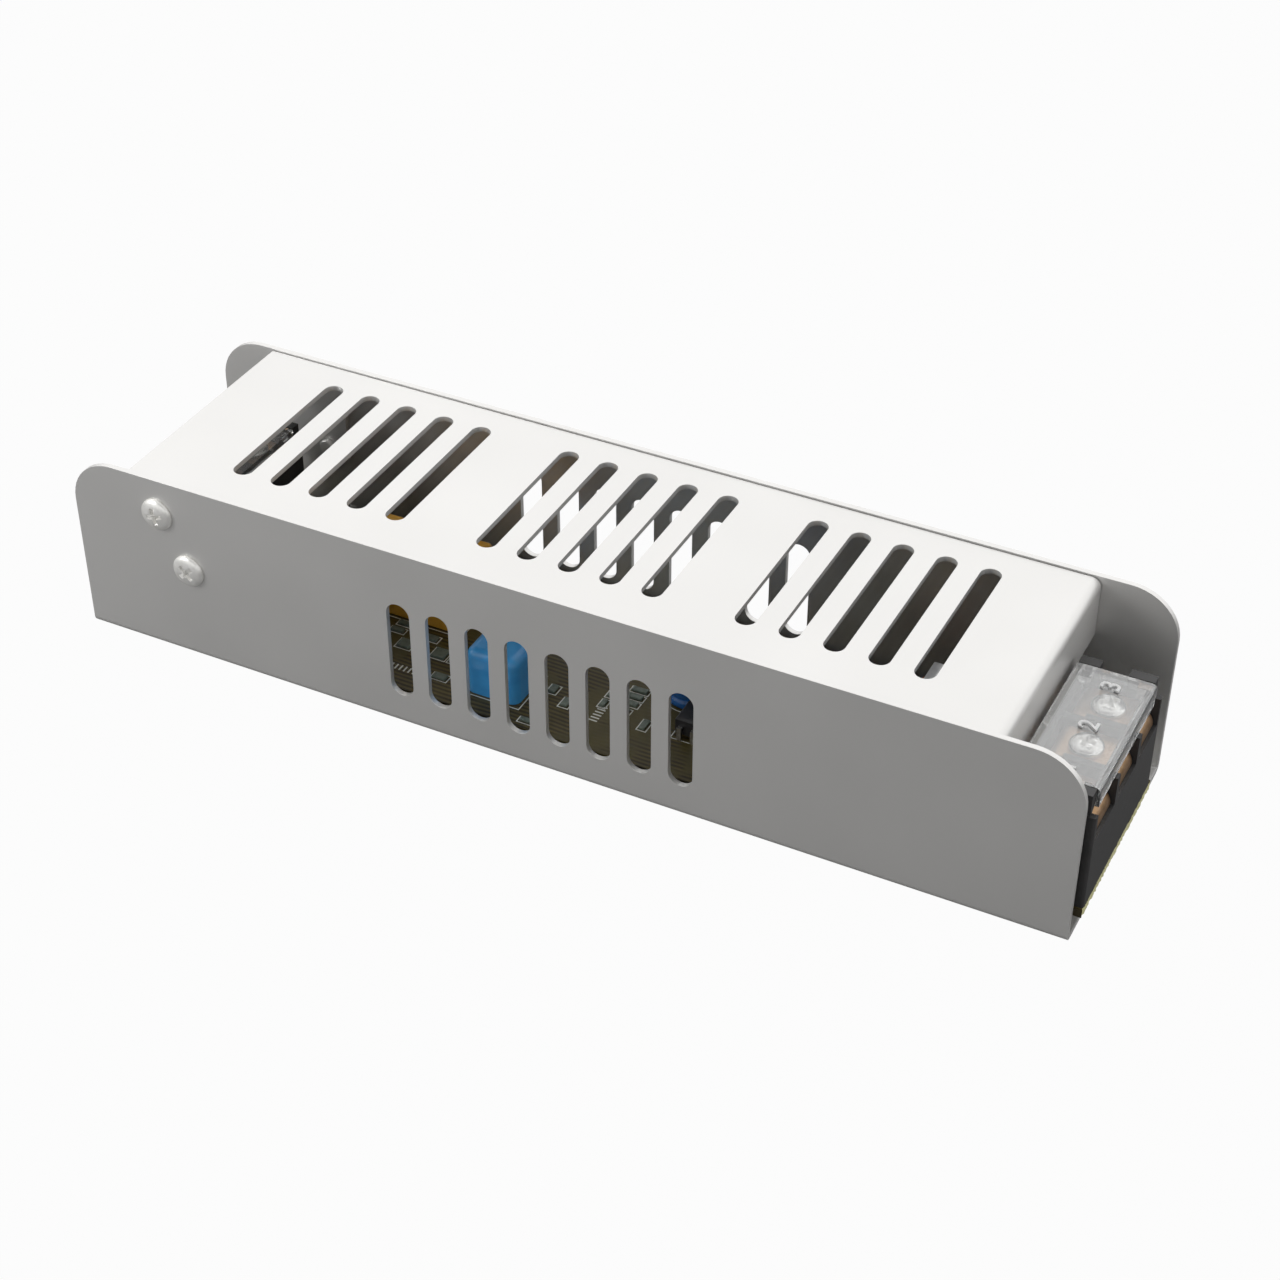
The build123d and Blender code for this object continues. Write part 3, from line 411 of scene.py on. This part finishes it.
# %% Moulded numbers
blocks = {"output": (95.2, -4.6, 1), "input": (-85.2, -3.1, -1)}
cell_pitch, screw_inset = 11.0, 7.0
number_height, off_middle = 28.6, -0.6  # 0.1 mm over the lids, so that each number is half sunk in
for end, (face_x, middle_y, out) in blocks.items():
    for number in (1, 2, 3):
        text = bpy.data.curves.new(f"{end}_number_{number}", "FONT")
        text.body = str(number)
        text.size = 4.6
        text.extrude = 0.2
        text.bevel_depth = 0.06
        text.align_x = "CENTER"
        text.align_y = "CENTER"
        holder = bpy.data.objects.new(text.name, text)
        bpy.context.collection.objects.link(holder)
        mesh = bpy.data.meshes.new_from_object(holder)
        bpy.data.objects.remove(holder)
        number_y = middle_y + out * (number - 2) * cell_pitch + off_middle
        place = Vector((face_x - out * screw_inset, number_y, number_height)) * mm
        mesh.transform(Matrix.Translation(place) @ Matrix.Rotation(math.radians(90 * out), 4, "Z") @
                       Matrix.Scale(mm, 4))
        raised = bpy.data.objects.new(f"{end}_number_{number}", mesh)
        bpy.context.collection.objects.link(raised)
        give(raised, frosted)
        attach(raised, f"{end}_lid")

# %% [markdown]
# ## Board edge
# The board was snapped from a panel, so its ends are ragged with glass fibres. The two edges of each end
# face are divided, and each small step is pushed in by a chance depth of up to a quarter millimetre.

# %% Board with snapped ends
chance = random.Random(7)
touching = 0.01 * mm
deepest, jitter = 0.25, 0.05
form = joined_form("circuit_board")
for end_x in (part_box("circuit_board")[0][0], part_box("circuit_board")[1][0]):
    face = next(f for f in form.faces if all(abs(v.co.x - end_x) < touching for v in f.verts))
    long_edges = [e for e in face.edges if abs(e.verts[0].co.y - e.verts[1].co.y) > 5 * mm]
    bmesh.ops.subdivide_edges(form, edges=long_edges, cuts=90, use_grid_fill=True)
    depth_at = {}
    for vert in [v for v in form.verts if abs(v.co.x - end_x) < touching]:
        spot = round(vert.co.y / (0.05 * mm))  # the two points above each other share a depth
        depth_at.setdefault(spot, chance.uniform(0, deepest) ** 1.2)  # the power makes steps shallower
        vert.co.x -= math.copysign((depth_at[spot] + chance.uniform(0, jitter)) * mm, end_x)
board = piece_from(form, "circuit_board_finished", laminate)
shown_as(board, "circuit_board")
for polygon in board.data.polygons:
    polygon.use_smooth = False

# %% [markdown]
# ## Turned parts
# Cans, discs and resistors are round, so half of the outline is drawn once, as radius and height, and spun
# about Z. The start and end of the spin merge, and so do the poles. Each face then takes its finish from
# where it lies, while the form still stands at the origin, and only after that is it put in its place.

# %% Spin, paint and place
lie_along_x = Matrix.Rotation(math.radians(90), 4, "Y")
lie_against_x = Matrix.Rotation(math.radians(-90), 4, "Y")
lie_along_y = Matrix.Rotation(math.radians(-90), 4, "X")


def spun(outline, steps=40):
    """A closed form from half of an outline in millimetres, spun round Z."""
    form = bmesh.new()
    corners = [form.verts.new((radius * mm, 0, height * mm)) for radius, height in outline]
    lines = [form.edges.new(pair) for pair in zip(corners, corners[1:])]
    bmesh.ops.spin(form, geom=corners + lines, cent=(0, 0, 0), axis=(0, 0, 1), angle=math.tau, steps=steps,
                   use_merge=True)
    bmesh.ops.remove_doubles(form, verts=form.verts, dist=weld)
    bmesh.ops.recalc_face_normals(form, faces=form.faces)
    return form


def paint(form, rule):
    """Gives each face the finish number that the rule finds for its centre, in millimetres."""
    for face in form.faces:
        face.material_index = rule(face.calc_center_median() / mm)
    return form


def put(form, place, turn=Matrix.Identity(4)):
    """Turns a form about the origin and moves it to a place in millimetres."""
    bmesh.ops.transform(form, matrix=Matrix.Translation(Vector(place) * mm) @ turn, verts=form.verts)
    return form


def gather(forms):
    """Puts several forms into one."""
    whole = bmesh.new()
    for form in forms:
        part = bpy.data.meshes.new("part")
        form.to_mesh(part)
        form.free()
        whole.from_mesh(part)
        bpy.data.meshes.remove(part)
    return whole


def slab(low, high, finish=0):
    """A plain bar between two corners in millimetres."""
    form = bmesh.new()
    bmesh.ops.create_cube(form, size=1.0)
    size = Vector(high) - Vector(low)
    bmesh.ops.scale(form, vec=size * mm, verts=form.verts)
    bmesh.ops.translate(form, vec=(Vector(low) + size / 2) * mm, verts=form.verts)
    for face in form.faces:
        face.material_index = finish
    return form


def wire(points, radius, finish=0, sides=2):
    """A round wire along a smooth line through points in millimetres."""
    path = bpy.data.curves.new("wire", "CURVE")
    path.dimensions = "3D"
    path.bevel_depth = radius * mm
    path.bevel_resolution = sides
    path.resolution_u = 3
    path.use_fill_caps = True
    line = path.splines.new("NURBS")
    line.points.add(len(points) - 1)
    for corner, place in zip(line.points, points):
        corner.co = (*(Vector(place) * mm), 1.0)
    line.order_u = 3
    line.use_endpoint_u = True
    holder = bpy.data.objects.new("wire", path)
    bpy.context.collection.objects.link(holder)
    mesh = bpy.data.meshes.new_from_object(holder)
    form = bmesh.new()
    form.from_mesh(mesh)
    bpy.data.objects.remove(holder)
    bpy.data.curves.remove(path)
    bpy.data.meshes.remove(mesh)
    for face in form.faces:
        face.material_index = finish
    return form


board_top = 6.0  # the height of the board's upper face

# %% [markdown]
# ## Screw heads
# A pan head is domed and has a deep cross that narrows downwards. The head is spun, and two tapered bars
# are cut out of it, crossed at the angle that the driver left. The Boolean modifier is evaluated once and
# its result kept, so that the bars can go. The four screws in the walls are made the same way and lie on
# their sides, heads outwards.

# %% Heads with a cross
def tapered_bar(length, width, depth, turn):
    """A bar whose top is wider than its foot, as an object to cut with."""
    form = bmesh.new()
    bmesh.ops.create_cube(form, size=1.0)
    bmesh.ops.scale(form, vec=Vector((length, width, 2 * depth)) * mm, verts=form.verts)
    foot = [vert for vert in form.verts if vert.co.z < 0]
    bmesh.ops.scale(form, vec=(0.55, 0.55, 1.0), verts=foot)
    bmesh.ops.rotate(form, verts=form.verts, matrix=Matrix.Rotation(math.radians(turn), 3, "Z"))
    bar = bpy.data.objects.new("bar", bpy.data.meshes.new("bar"))
    form.to_mesh(bar.data)
    form.free()
    bpy.context.collection.objects.link(bar)
    return bar


def crossed_screw(outline, bar_length, bar_width, bar_depth, turn):
    """A spun screw with a cross cut into its head."""
    blank = piece_from(spun(outline, 48), "blank", zinc)
    bars = [tapered_bar(bar_length, bar_width, bar_depth, turn + quarter) for quarter in (0, 90)]
    for bar in bars:
        bar.location.z = outline[-1][1] * mm
        cut = blank.modifiers.new("cut", "BOOLEAN")
        cut.object = bar
        cut.solver = "EXACT"
    bpy.context.view_layer.update()
    evaluated = blank.evaluated_get(bpy.context.evaluated_depsgraph_get())
    form = bmesh.new()
    form.from_mesh(bpy.data.meshes.new_from_object(evaluated))
    for extra in (blank, *bars):
        bpy.data.objects.remove(extra)
    return form


# %% Terminal screws
terminal_screw = [(0, -8.0), (1.2, -8.0), (1.5, -7.7), (1.5, 0), (2.75, 0), (2.88, 0.12), (2.9, 0.4),
                  (2.82, 0.72), (2.6, 1.02), (2.2, 1.28), (1.7, 1.45), (1.1, 1.55), (0.5, 1.59), (0, 1.6)]
head_height = terminal_screw[-1][1]
driver_angles = iter((12, -9, 31, 55, 20, -33))
for end in ("output", "input"):
    for cell in (1, 2, 3):
        form = crossed_screw(terminal_screw, bar_length=4.1, bar_width=1.3, bar_depth=1.2,
                             turn=next(driver_angles))
        low, high = (Vector(corner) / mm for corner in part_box(f"{end}_screw_{cell}"))
        middle = (low + high) / 2
        form = put(form, (middle.x, middle.y, high.z - head_height))
        screw = piece_from(form, f"{end}_screw_{cell}_finished", zinc)
        round_edges(screw, edge_mm=0.05, sharp=35)
        shown_as(screw, f"{end}_screw_{cell}")
print("terminal screw faces:", len(screw.data.polygons))

# %% Wall screws
wall_screw = [(0, -3.2), (1.3, -3.2), (1.45, -3.0), (1.45, 0), (3.0, 0), (3.1, 0.12), (3.08, 0.36),
              (2.9, 0.62), (2.5, 0.87), (1.9, 1.07), (1.2, 1.22), (0.5, 1.29), (0, 1.3)]
wall_face = 24.0  # how far the walls' outer faces lie from the middle
forms = []
for x, z, side, turn in ((-76.1, 29.6, -1, 14), (-70.7, 19.2, -1, 43), (-76.1, 29.6, 1, 63),
                         (-70.7, 19.2, 1, -20)):
    form = crossed_screw(wall_screw, bar_length=4.4, bar_width=1.15, bar_depth=1.0, turn=turn)
    lie_outwards = Matrix.Rotation(math.radians(-90 * side), 4, "X")
    forms.append(put(form, (x, side * wall_face, z), lie_outwards))
wall_screws = piece_from(gather(forms), "wall_screws_finished", milky_zinc)
round_edges(wall_screws, edge_mm=0.05, sharp=35)
shown_as(wall_screws, "wall_screws")

# %% [markdown]
# ## Electrolytic cans
# A can is drawn aluminium with a rubber bung rolled into its foot, and a printed sleeve is shrunk over it
# and folds a little way over the top. The bare top is scored with a cross, so that it opens there if the
# pressure rises. The cross is cut into the flat top by four planes, and its faces are set inwards.

# %% Cans
def can_form(radius, tall):
    """An upright can: sleeve 0, aluminium 1, rubber 2."""
    form = spun([(0, 0.25), (radius - 0.9, 0.25), (radius - 0.7, 0.06), (radius - 0.3, 0.03),
                 (radius - 0.08, 0.25), (radius, 0.7), (radius, 1.3), (radius - 0.08, 1.5),
                 (radius - 0.34, 1.75), (radius - 0.4, 2.0), (radius - 0.34, 2.25), (radius - 0.08, 2.5),
                 (radius, 2.7), (radius, tall - 0.7), (radius - 0.08, tall - 0.35),
                 (radius - 0.3, tall - 0.1), (radius - 0.55, tall - 0.02), (radius - 0.8, tall - 0.08),
                 (radius - 0.85, tall - 0.3), (radius - 1.1, tall - 0.35)])
    bmesh.ops.contextual_create(form, geom=[edge for edge in form.edges if edge.is_boundary])
    flat_height, flat_radius = (tall - 0.36) * mm, (radius - 1.15) * mm
    fold_radius, rim_foot, foot_depth = radius - 0.82, tall - 0.6, 0.27
    half_score, score_wall, score_depth = 0.22 * mm, 0.08 * mm, 0.15 * mm

    def flat_top():
        """The faces of the flat top, inside the sleeve's fold."""
        return [face for face in form.faces if face.calc_center_median().z > flat_height and
                face.calc_center_median().xy.length < flat_radius]

    def finish_at(centre):
        """Sleeve outside its two folds. Inside them, aluminium on top and rubber in the foot."""
        if centre.xy.length >= fold_radius:
            return 0
        return 1 if centre.z > rim_foot else 2 if centre.z < foot_depth else 0

    for side, axis in ((-1, (1, 0, 0)), (1, (1, 0, 0)), (-1, (0, 1, 0)), (1, (0, 1, 0))):
        top = flat_top()
        bmesh.ops.bisect_plane(form, geom=top + list({edge for face in top for edge in face.edges}) +
                               list({vert for face in top for vert in face.verts}),
                               plane_co=side * half_score * Vector(axis), plane_no=axis)
    cross = [face for face in flat_top()
             if min(abs(reach) for reach in face.calc_center_median().xy) < half_score]
    bmesh.ops.inset_region(form, faces=cross, thickness=score_wall, depth=-score_depth, use_boundary=True)
    bmesh.ops.recalc_face_normals(form, faces=form.faces)
    return paint(form, finish_at)


for node_name, place, radius, tall in (("output_capacitor_1", (73.6, -16.2), 5.0, 18.0),
                                       ("output_capacitor_2", (73.6, -5.4), 5.0, 18.0),
                                       ("auxiliary_capacitor", (17.2, -0.3), 5.0, 13.0)):
    can = piece_from(put(can_form(radius, tall), (*place, board_top)), f"{node_name}_finished",
                     blue_sleeve, can_aluminium, rubber)
    shown_as(can, node_name)

bulk_axis = 14.6
bulk_holes = [(-43.3, -17.15), (-43.3, -9.65)]
bulk_forms = [put(can_form(8.0, 24.0), (-45.0, -13.4, bulk_axis), lie_against_x)]
for hole_x, lead_y in bulk_holes:
    bent = ((-45.6, bulk_axis), (-44.4, bulk_axis), (-43.6, bulk_axis), (hole_x, bulk_axis - 0.8),
            (hole_x, 9.0), (hole_x, board_top))
    bulk_forms.append(wire([(x, lead_y, z) for x, z in bent], radius=0.4, finish=3))
bulk = piece_from(gather(bulk_forms), "bulk_capacitor_finished", dark_sleeve, can_aluminium, rubber, tin)
shown_as(bulk, "bulk_capacitor")

# %% [markdown]
# ## Discs and resistors
# The thermistor and the safety capacitor are discs that were dipped in epoxy with their leads on, so their
# rims are round and a skirt of epoxy runs a little way down each lead. A resistor's coating bulges over its
# end caps, which gives it its waist. Its rings are bands of faces with their own colours.

# %% Discs
lead_offset, lift = 2.5, 0.8
disc_rim = ((0, 0), (0.55, 0.03), (0.78, 0.12), (0.9, 0.3), (0.97, 0.6), (1.0, 1.0), (0.97, 1.4),
            (0.9, 1.7), (0.78, 1.88), (0.55, 1.97), (0, 2.0))
skirt = ((0, 1.4), (0.9, 1.2), (0.75, 0.7), (0.5, 0.25), (0.36, 0), (0, -0.02))
disc_holes = []
for node_name, place, radius, thick, coat in (("thermistor", (-54.6, 0.9), 4.0, 2.4, green_dip),
                                              ("y_capacitor", (-22.0, 12.0), 3.4, 3.0, blue_dip)):
    half = thick / 2
    axis_z = board_top + lift + radius
    forms = [put(spun([(radius * share, half - depth * half) for share, depth in disc_rim]),
                 (*place, axis_z), lie_along_x)]
    for side in (-1, 1):
        lead_y = place[1] + side * lead_offset
        skirt_top = axis_z - math.sqrt(radius ** 2 - lead_offset ** 2)
        forms.append(put(spun(skirt, 16), (place[0], lead_y, skirt_top - 0.55)))
        forms.append(wire([(place[0], lead_y, skirt_top + 0.5), (place[0], lead_y, skirt_top - 0.6),
                           (place[0], lead_y, board_top)], radius=0.34, finish=1))
        disc_holes.append((place[0], lead_y))
    disc = piece_from(gather(forms), f"{node_name}_finished", coat, tin)
    shown_as(disc, node_name)

# %% Resistors
resistor_outline = [(0, 0), (0.8, 0.02), (1.05, 0.2), (1.15, 0.6), (1.14, 1.1), (1.02, 1.45), (0.94, 1.75),
                    (0.92, 2.15), (0.92, 2.6), (0.92, 3.0), (0.92, 3.45), (0.92, 3.85), (0.92, 4.3),
                    (0.94, 4.6), (1.02, 4.85), (1.14, 5.2), (1.15, 5.7), (1.05, 6.1), (0.8, 6.28), (0, 6.3)]
resistor_axis = 1.15
bent_lead = ((3.0, resistor_axis), (3.7, resistor_axis), (4.15, 1.1), (4.3, 0.8), (4.3, 0.0))
rings = ((0.6, 1.1, 1), (1.75, 2.15, 2), (2.6, 3.0, 3), (3.45, 3.85, 3), (5.2, 5.7, 4))
resistor_places = ((2.0, 16.5), (6.5, 16.5), (11.0, 16.5), (34.0, 6.0), (38.5, 6.0))
resistor_holes = [(x, y + side * bent_lead[-1][0]) for x, y in resistor_places for side in (-1, 1)]
forms = []
for x, y in resistor_places:
    body = paint(spun(resistor_outline, 24),
                 lambda centre: next((finish for low, high, finish in rings if low < centre.z < high), 0))
    forms.append(put(body, (x, y - resistor_outline[-1][1] / 2, board_top + resistor_axis), lie_along_y))
    for side in (-1, 1):
        forms.append(wire([(x, y + side * reach, board_top + up) for reach, up in bent_lead],
                          radius=0.3, finish=5))
resistor_row = piece_from(gather(forms), "resistors_finished", resistor_lacquer, *ring_inks, tin)
shown_as(resistor_row, "resistors")

# %% [markdown]
# ## Windings
# Choke windings are enamelled copper wire, wound turn by turn. The wire is a smooth curve through a few
# points for each turn, with a round bevel, and it is made a mesh before it is kept. The output choke's
# eighteen turns go through its ring, and the line choke has two coils of ten turns round its legs.

# %% Wound wire
choke_x, choke_y = 53.0, 8.6
turn_angle = 17.0
turn_outline = ((3.42, 6.9), (3.42, 11.1), (3.95, 11.66), (6.85, 11.66), (7.36, 11.1), (7.36, 6.9),
                (6.85, 6.36), (3.95, 6.36))
points = []
for turn in range(18):
    for step, (reach, up) in enumerate(turn_outline):
        # The last steps of a turn, under the ring, lead on to the next one.
        angle = math.radians(turn_angle * (turn + max(0, step - 5) / 3))
        points.append((choke_x + reach * math.cos(angle), choke_y + reach * math.sin(angle), up))
output_winding = piece_from(wire(points, radius=0.34, sides=3), "output_choke_winding_finished", copper)
shown_as(output_winding, "output_choke_winding")

core_x, core_y, leg_offset = -67.1, 2.8, 3.9
coil_foot, coil_pitch = 8.35, 0.58
coil_outline = ((-2.1, -2.45), (2.1, -2.45), (2.7, -1.9), (2.7, 1.9), (2.1, 2.45), (-2.1, 2.45),
                (-2.7, 1.9), (-2.7, -1.9))
for number, side in ((1, -1), (2, 1)):
    points = [(core_x + x, core_y + side * leg_offset + y, coil_foot + coil_pitch * (turn + step / 8))
              for turn in range(10) for step, (x, y) in enumerate(coil_outline)]
    coil = piece_from(wire(points, radius=0.29, sides=3), f"line_choke_coil_{number}_finished", copper)
    shown_as(coil, f"line_choke_coil_{number}")

# %% [markdown]
# ## Fuse wire
# A glass fuse shows its thin wire, which sags a little between the caps. The glass is a solid rod in CAD,
# and the wire lies inside it.

# %% Fuse wire
fuse_y = 12.6
fuse_holes = [(-62.0, fuse_y), (-53.8, fuse_y)]
sag = ((-62.6, 8.5), (-60.0, 8.35), (-57.9, 8.2), (-55.8, 8.35), (-53.2, 8.5))
fuse_wire = piece_from(wire([(x, fuse_y, z) for x, z in sag], radius=0.09), "fuse_wire", tin)
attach(fuse_wire, "housing")

# %% [markdown]
# ## Print and small chips on the board
# White printed frames show where each part goes. Between the tall parts lie small ceramic chips, each
# soldered at both ends. Frames are four thin bars, rings are spun, and both stand 0.02 mm proud of the
# lacquer, as real ink does.

# %% Printed frames
ink, line, ring_line = 0.02, 0.2, 0.18
ink_top = board_top + ink


def frame_bars(low_x, low_y, high_x, high_y):
    """Four bars of print round a rectangle on the board."""
    return [slab((low_x, low_y, board_top), (high_x, low_y + line, ink_top)),
            slab((low_x, high_y - line, board_top), (high_x, high_y, ink_top)),
            slab((low_x, low_y + line, board_top), (low_x + line, high_y - line, ink_top)),
            slab((high_x - line, low_y + line, board_top), (high_x, high_y - line, ink_top))]


chip_frames = [
    (-39.8, -6.4, -36.4, -4.7), (-40.1, -8.6, -36.7, -6.8), (-36.7, -12.2, -33.3, -9.2),
    (-33.4, -8.2, -30.0, -6.1), (-29.7, -12.1, -26.2, -8.8), (-26.0, -12.1, -23.8, -9.2),
    (-26.4, -17.2, -22.9, -15.1), (-29.6, -5.0, -27.4, -1.6), (-6.3, -11.6, -4.1, -8.9),
    (-2.6, -14.1, -0.4, -11.1), (3.5, -8.1, 5.3, -5.4), (3.5, -11.1, 5.3, -8.5),
    (6.6, -4.7, 10.4, -2.9), (6.6, -6.7, 10.4, -4.9), (6.6, -8.7, 10.4, -6.9), (7.3, -11.6, 9.9, -9.1),
    (12.4, -13.6, 14.4, -10.4), (-6.9, -20.9, -3.8, -19.2), (-14.0, 1.0, -10.6, 2.8),
    (-14.0, 4.0, -10.6, 5.8), (0.0, 5.6, 3.4, 7.4), (25.6, 3.6, 27.6, 7.0), (42.0, -2.4, 45.4, -0.6),
    (63.6, 12.2, 67.0, 14.0),
]
round_parts = ((73.6, -16.2, 5.35), (73.6, -5.4, 5.35), (17.2, -0.3, 5.4), (choke_x, choke_y, 8.1))
clearance, board_end, board_side = 0.7, -85.0, 21.8
forms = []
for corners in chip_frames:
    forms += frame_bars(*corners)
for node_name in ("x_capacitor", "box_capacitor", "bridge_rectifier", "optocoupler", "mosfet",
                  "transformer_coil", "thermistor", "y_capacitor", "fuse_caps", "line_choke_core",
                  "heat_sink"):
    low, high = (Vector(corner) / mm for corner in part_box(node_name))
    forms += frame_bars(max(low.x - clearance, board_end), max(low.y - clearance, -board_side),
                        high.x + clearance, min(high.y + clearance, board_side))
for x, y, reach in round_parts:
    ring = [(reach, 0), (reach + ring_line, 0), (reach + ring_line, ink), (reach, ink), (reach, 0)]
    forms.append(put(spun(ring, 64), (x, y, board_top)))
for tick in range(6):
    forms.append(slab((-34.2 + 0.9 * tick, -17.6, board_top), (-33.9 + 0.9 * tick, -16.2, ink_top)))
    forms.append(slab((4.0, -14.8 + 0.8 * tick, board_top), (5.6, -14.5 + 0.8 * tick, ink_top)))
printed = piece_from(gather(forms), "board_print", print_ink)
printed.data.shade_flat()
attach(printed, "housing")

# %% Chips and solder
gap_x, gap_y = 0.45, 0.35
cap_length, cap_height, body_height = 0.5, 0.5, 0.46
forms = []
for low_x, low_y, high_x, high_y in chip_frames:
    low, high = Vector((low_x + gap_x, low_y + gap_y)), Vector((high_x - gap_x, high_y - gap_y))
    along = 0 if high.x - low.x > high.y - low.y else 1
    first, last = high.copy(), low.copy()
    first[along] = low[along] + cap_length
    last[along] = high[along] - cap_length
    body_low, body_high = low.copy(), high.copy()
    body_low[along], body_high[along] = first[along], last[along]
    forms.append(slab((*low, board_top), (*first, board_top + cap_height), 1))
    forms.append(slab((*last, board_top), (*high, board_top + cap_height), 1))
    forms.append(slab((*body_low, board_top), (*body_high, board_top + body_height), 0))
chips = piece_from(gather(forms), "board_chips", chip_ceramic, solder)
round_edges(chips, 0.06)
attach(chips, "housing")

solder_cone = ((0, 0.75), (0.4, 0.72), (0.42, 0.45), (0.55, 0.2), (0.85, 0.05), (0.95, 0))
lead_holes = bulk_holes + disc_holes + fuse_holes + resistor_holes
forms = [put(spun(solder_cone, 20), (x, y, board_top)) for x, y in lead_holes]
solder_joints = piece_from(gather(forms), "solder_joints", solder)
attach(solder_joints, "housing")
print("chips:", len(chip_frames), "joints:", len(lead_holes))

# %% [markdown]
# ## Studio
# The supply lies on a plain floor in a white room, which lights the inside of the channel as well. High up
# in front the room is dark, like a black flag in a studio: bends and rounded edges mirror it as fine dark
# lines, and without them white edges would melt into the white cover. A large soft panel stands behind the
# supply, where the cover mirrors it to the camera as an even white. Another one at the output end lights
# the cover's lip and the lid, and a small one low at the left gives the near wall its slow fall of tone to
# the right. The floor itself is dark grey, so that it throws little light up at the walls. The camera sees
# it nearly as white paper, with a faint shadow left on it. Metal and glass see a little of that white too,
# and otherwise the floor as it is lit.

# %% Floor, panels and world
floor_form = bmesh.new()
bmesh.ops.create_grid(floor_form, x_segments=1, y_segments=1, size=3.0)
floor_mesh = bpy.data.meshes.new("studio_floor")
floor_form.to_mesh(floor_mesh)
floor_form.free()
floor = bpy.data.objects.new("studio_floor", floor_mesh)
bpy.context.collection.objects.link(floor)
floor_finish, tree, shader = start_material("pale_floor", Roughness=0.9, Base_Color=linear("4A4A4A"))
seen_white, mirrored_white = 0.97, 0.1
ray = add_node(tree, "ShaderNodeLightPath")
mirrored = add_node(tree, "ShaderNodeMath", {"operation": "MAXIMUM"},
                    {0: ray.outputs["Is Glossy Ray"], 1: ray.outputs["Is Transmission Ray"]})
some = add_node(tree, "ShaderNodeMath", {"operation": "MULTIPLY", 1: mirrored_white},
                {0: mirrored.outputs["Value"]})
most = add_node(tree, "ShaderNodeMath", {"operation": "MULTIPLY_ADD", 1: seen_white},
                {0: ray.outputs["Is Camera Ray"], 2: some.outputs["Value"]})
white = add_node(tree, "ShaderNodeEmission", {"Color": (1.0, 1.0, 1.0, 1.0), "Strength": 1.0})
mixed = add_node(tree, "ShaderNodeMixShader", links={0: most.outputs["Value"], 1: shader.outputs["BSDF"],
                                                     2: white.outputs["Emission"]})
tree.links.new(mixed.outputs["Shader"], tree.nodes["Material Output"].inputs["Surface"])
give(floor, floor_finish)

world = bpy.data.worlds.new("studio")
bpy.context.scene.world = world
world.use_nodes = True
room = world.node_tree
room.nodes["Background"].inputs["Color"].default_value = linear("FFFFFF")
look = add_node(room, "ShaderNodeTexCoord")
axes = add_node(room, "ShaderNodeSeparateXYZ", links={0: look.outputs["Generated"]})
high = add_node(room, "ShaderNodeMapRange", {"From Min": 0.5, "From Max": 0.62},
                {"Value": axes.outputs["Z"]})
ahead = add_node(room, "ShaderNodeMapRange", {"From Min": -0.25, "From Max": -0.4},
                 {"Value": axes.outputs["Y"]})
flag = add_node(room, "ShaderNodeMath", {"operation": "MULTIPLY"},
                {0: high.outputs["Result"], 1: ahead.outputs["Result"]})
room_white, flag_grey = 1.0, 0.2
brightness = add_node(room, "ShaderNodeMapRange", {"To Min": room_white, "To Max": flag_grey},
                      {"Value": flag.outputs["Value"]})
room.links.new(brightness.outputs["Result"], room.nodes["Background"].inputs["Strength"])


def soft_panel(name, place, aim, size, power):
    """A square area lamp at place that faces aim."""
    lamp = bpy.data.lights.new(name, "AREA")
    lamp.shape = "SQUARE"
    lamp.size = size
    lamp.energy = power
    panel = bpy.data.objects.new(name, lamp)
    bpy.context.collection.objects.link(panel)
    panel.location = place
    panel.rotation_euler = (Vector(aim) - Vector(place)).to_track_quat("-Z", "Y").to_euler()


soft_panel("back_panel", (-0.62, 1.15, 0.95), aim=(0, 0, 0.02), size=1.6, power=3.3)
soft_panel("front_panel", (-0.28, -0.22, 0.22), aim=(-0.09, -0.06, 0.0), size=0.15, power=0.62)
soft_panel("end_panel", (0.7, 0.85, 0.62), aim=(0.12, 0.08, 0.0), size=1.6, power=3.0)
bpy.context.scene.view_settings.view_transform = "Standard"
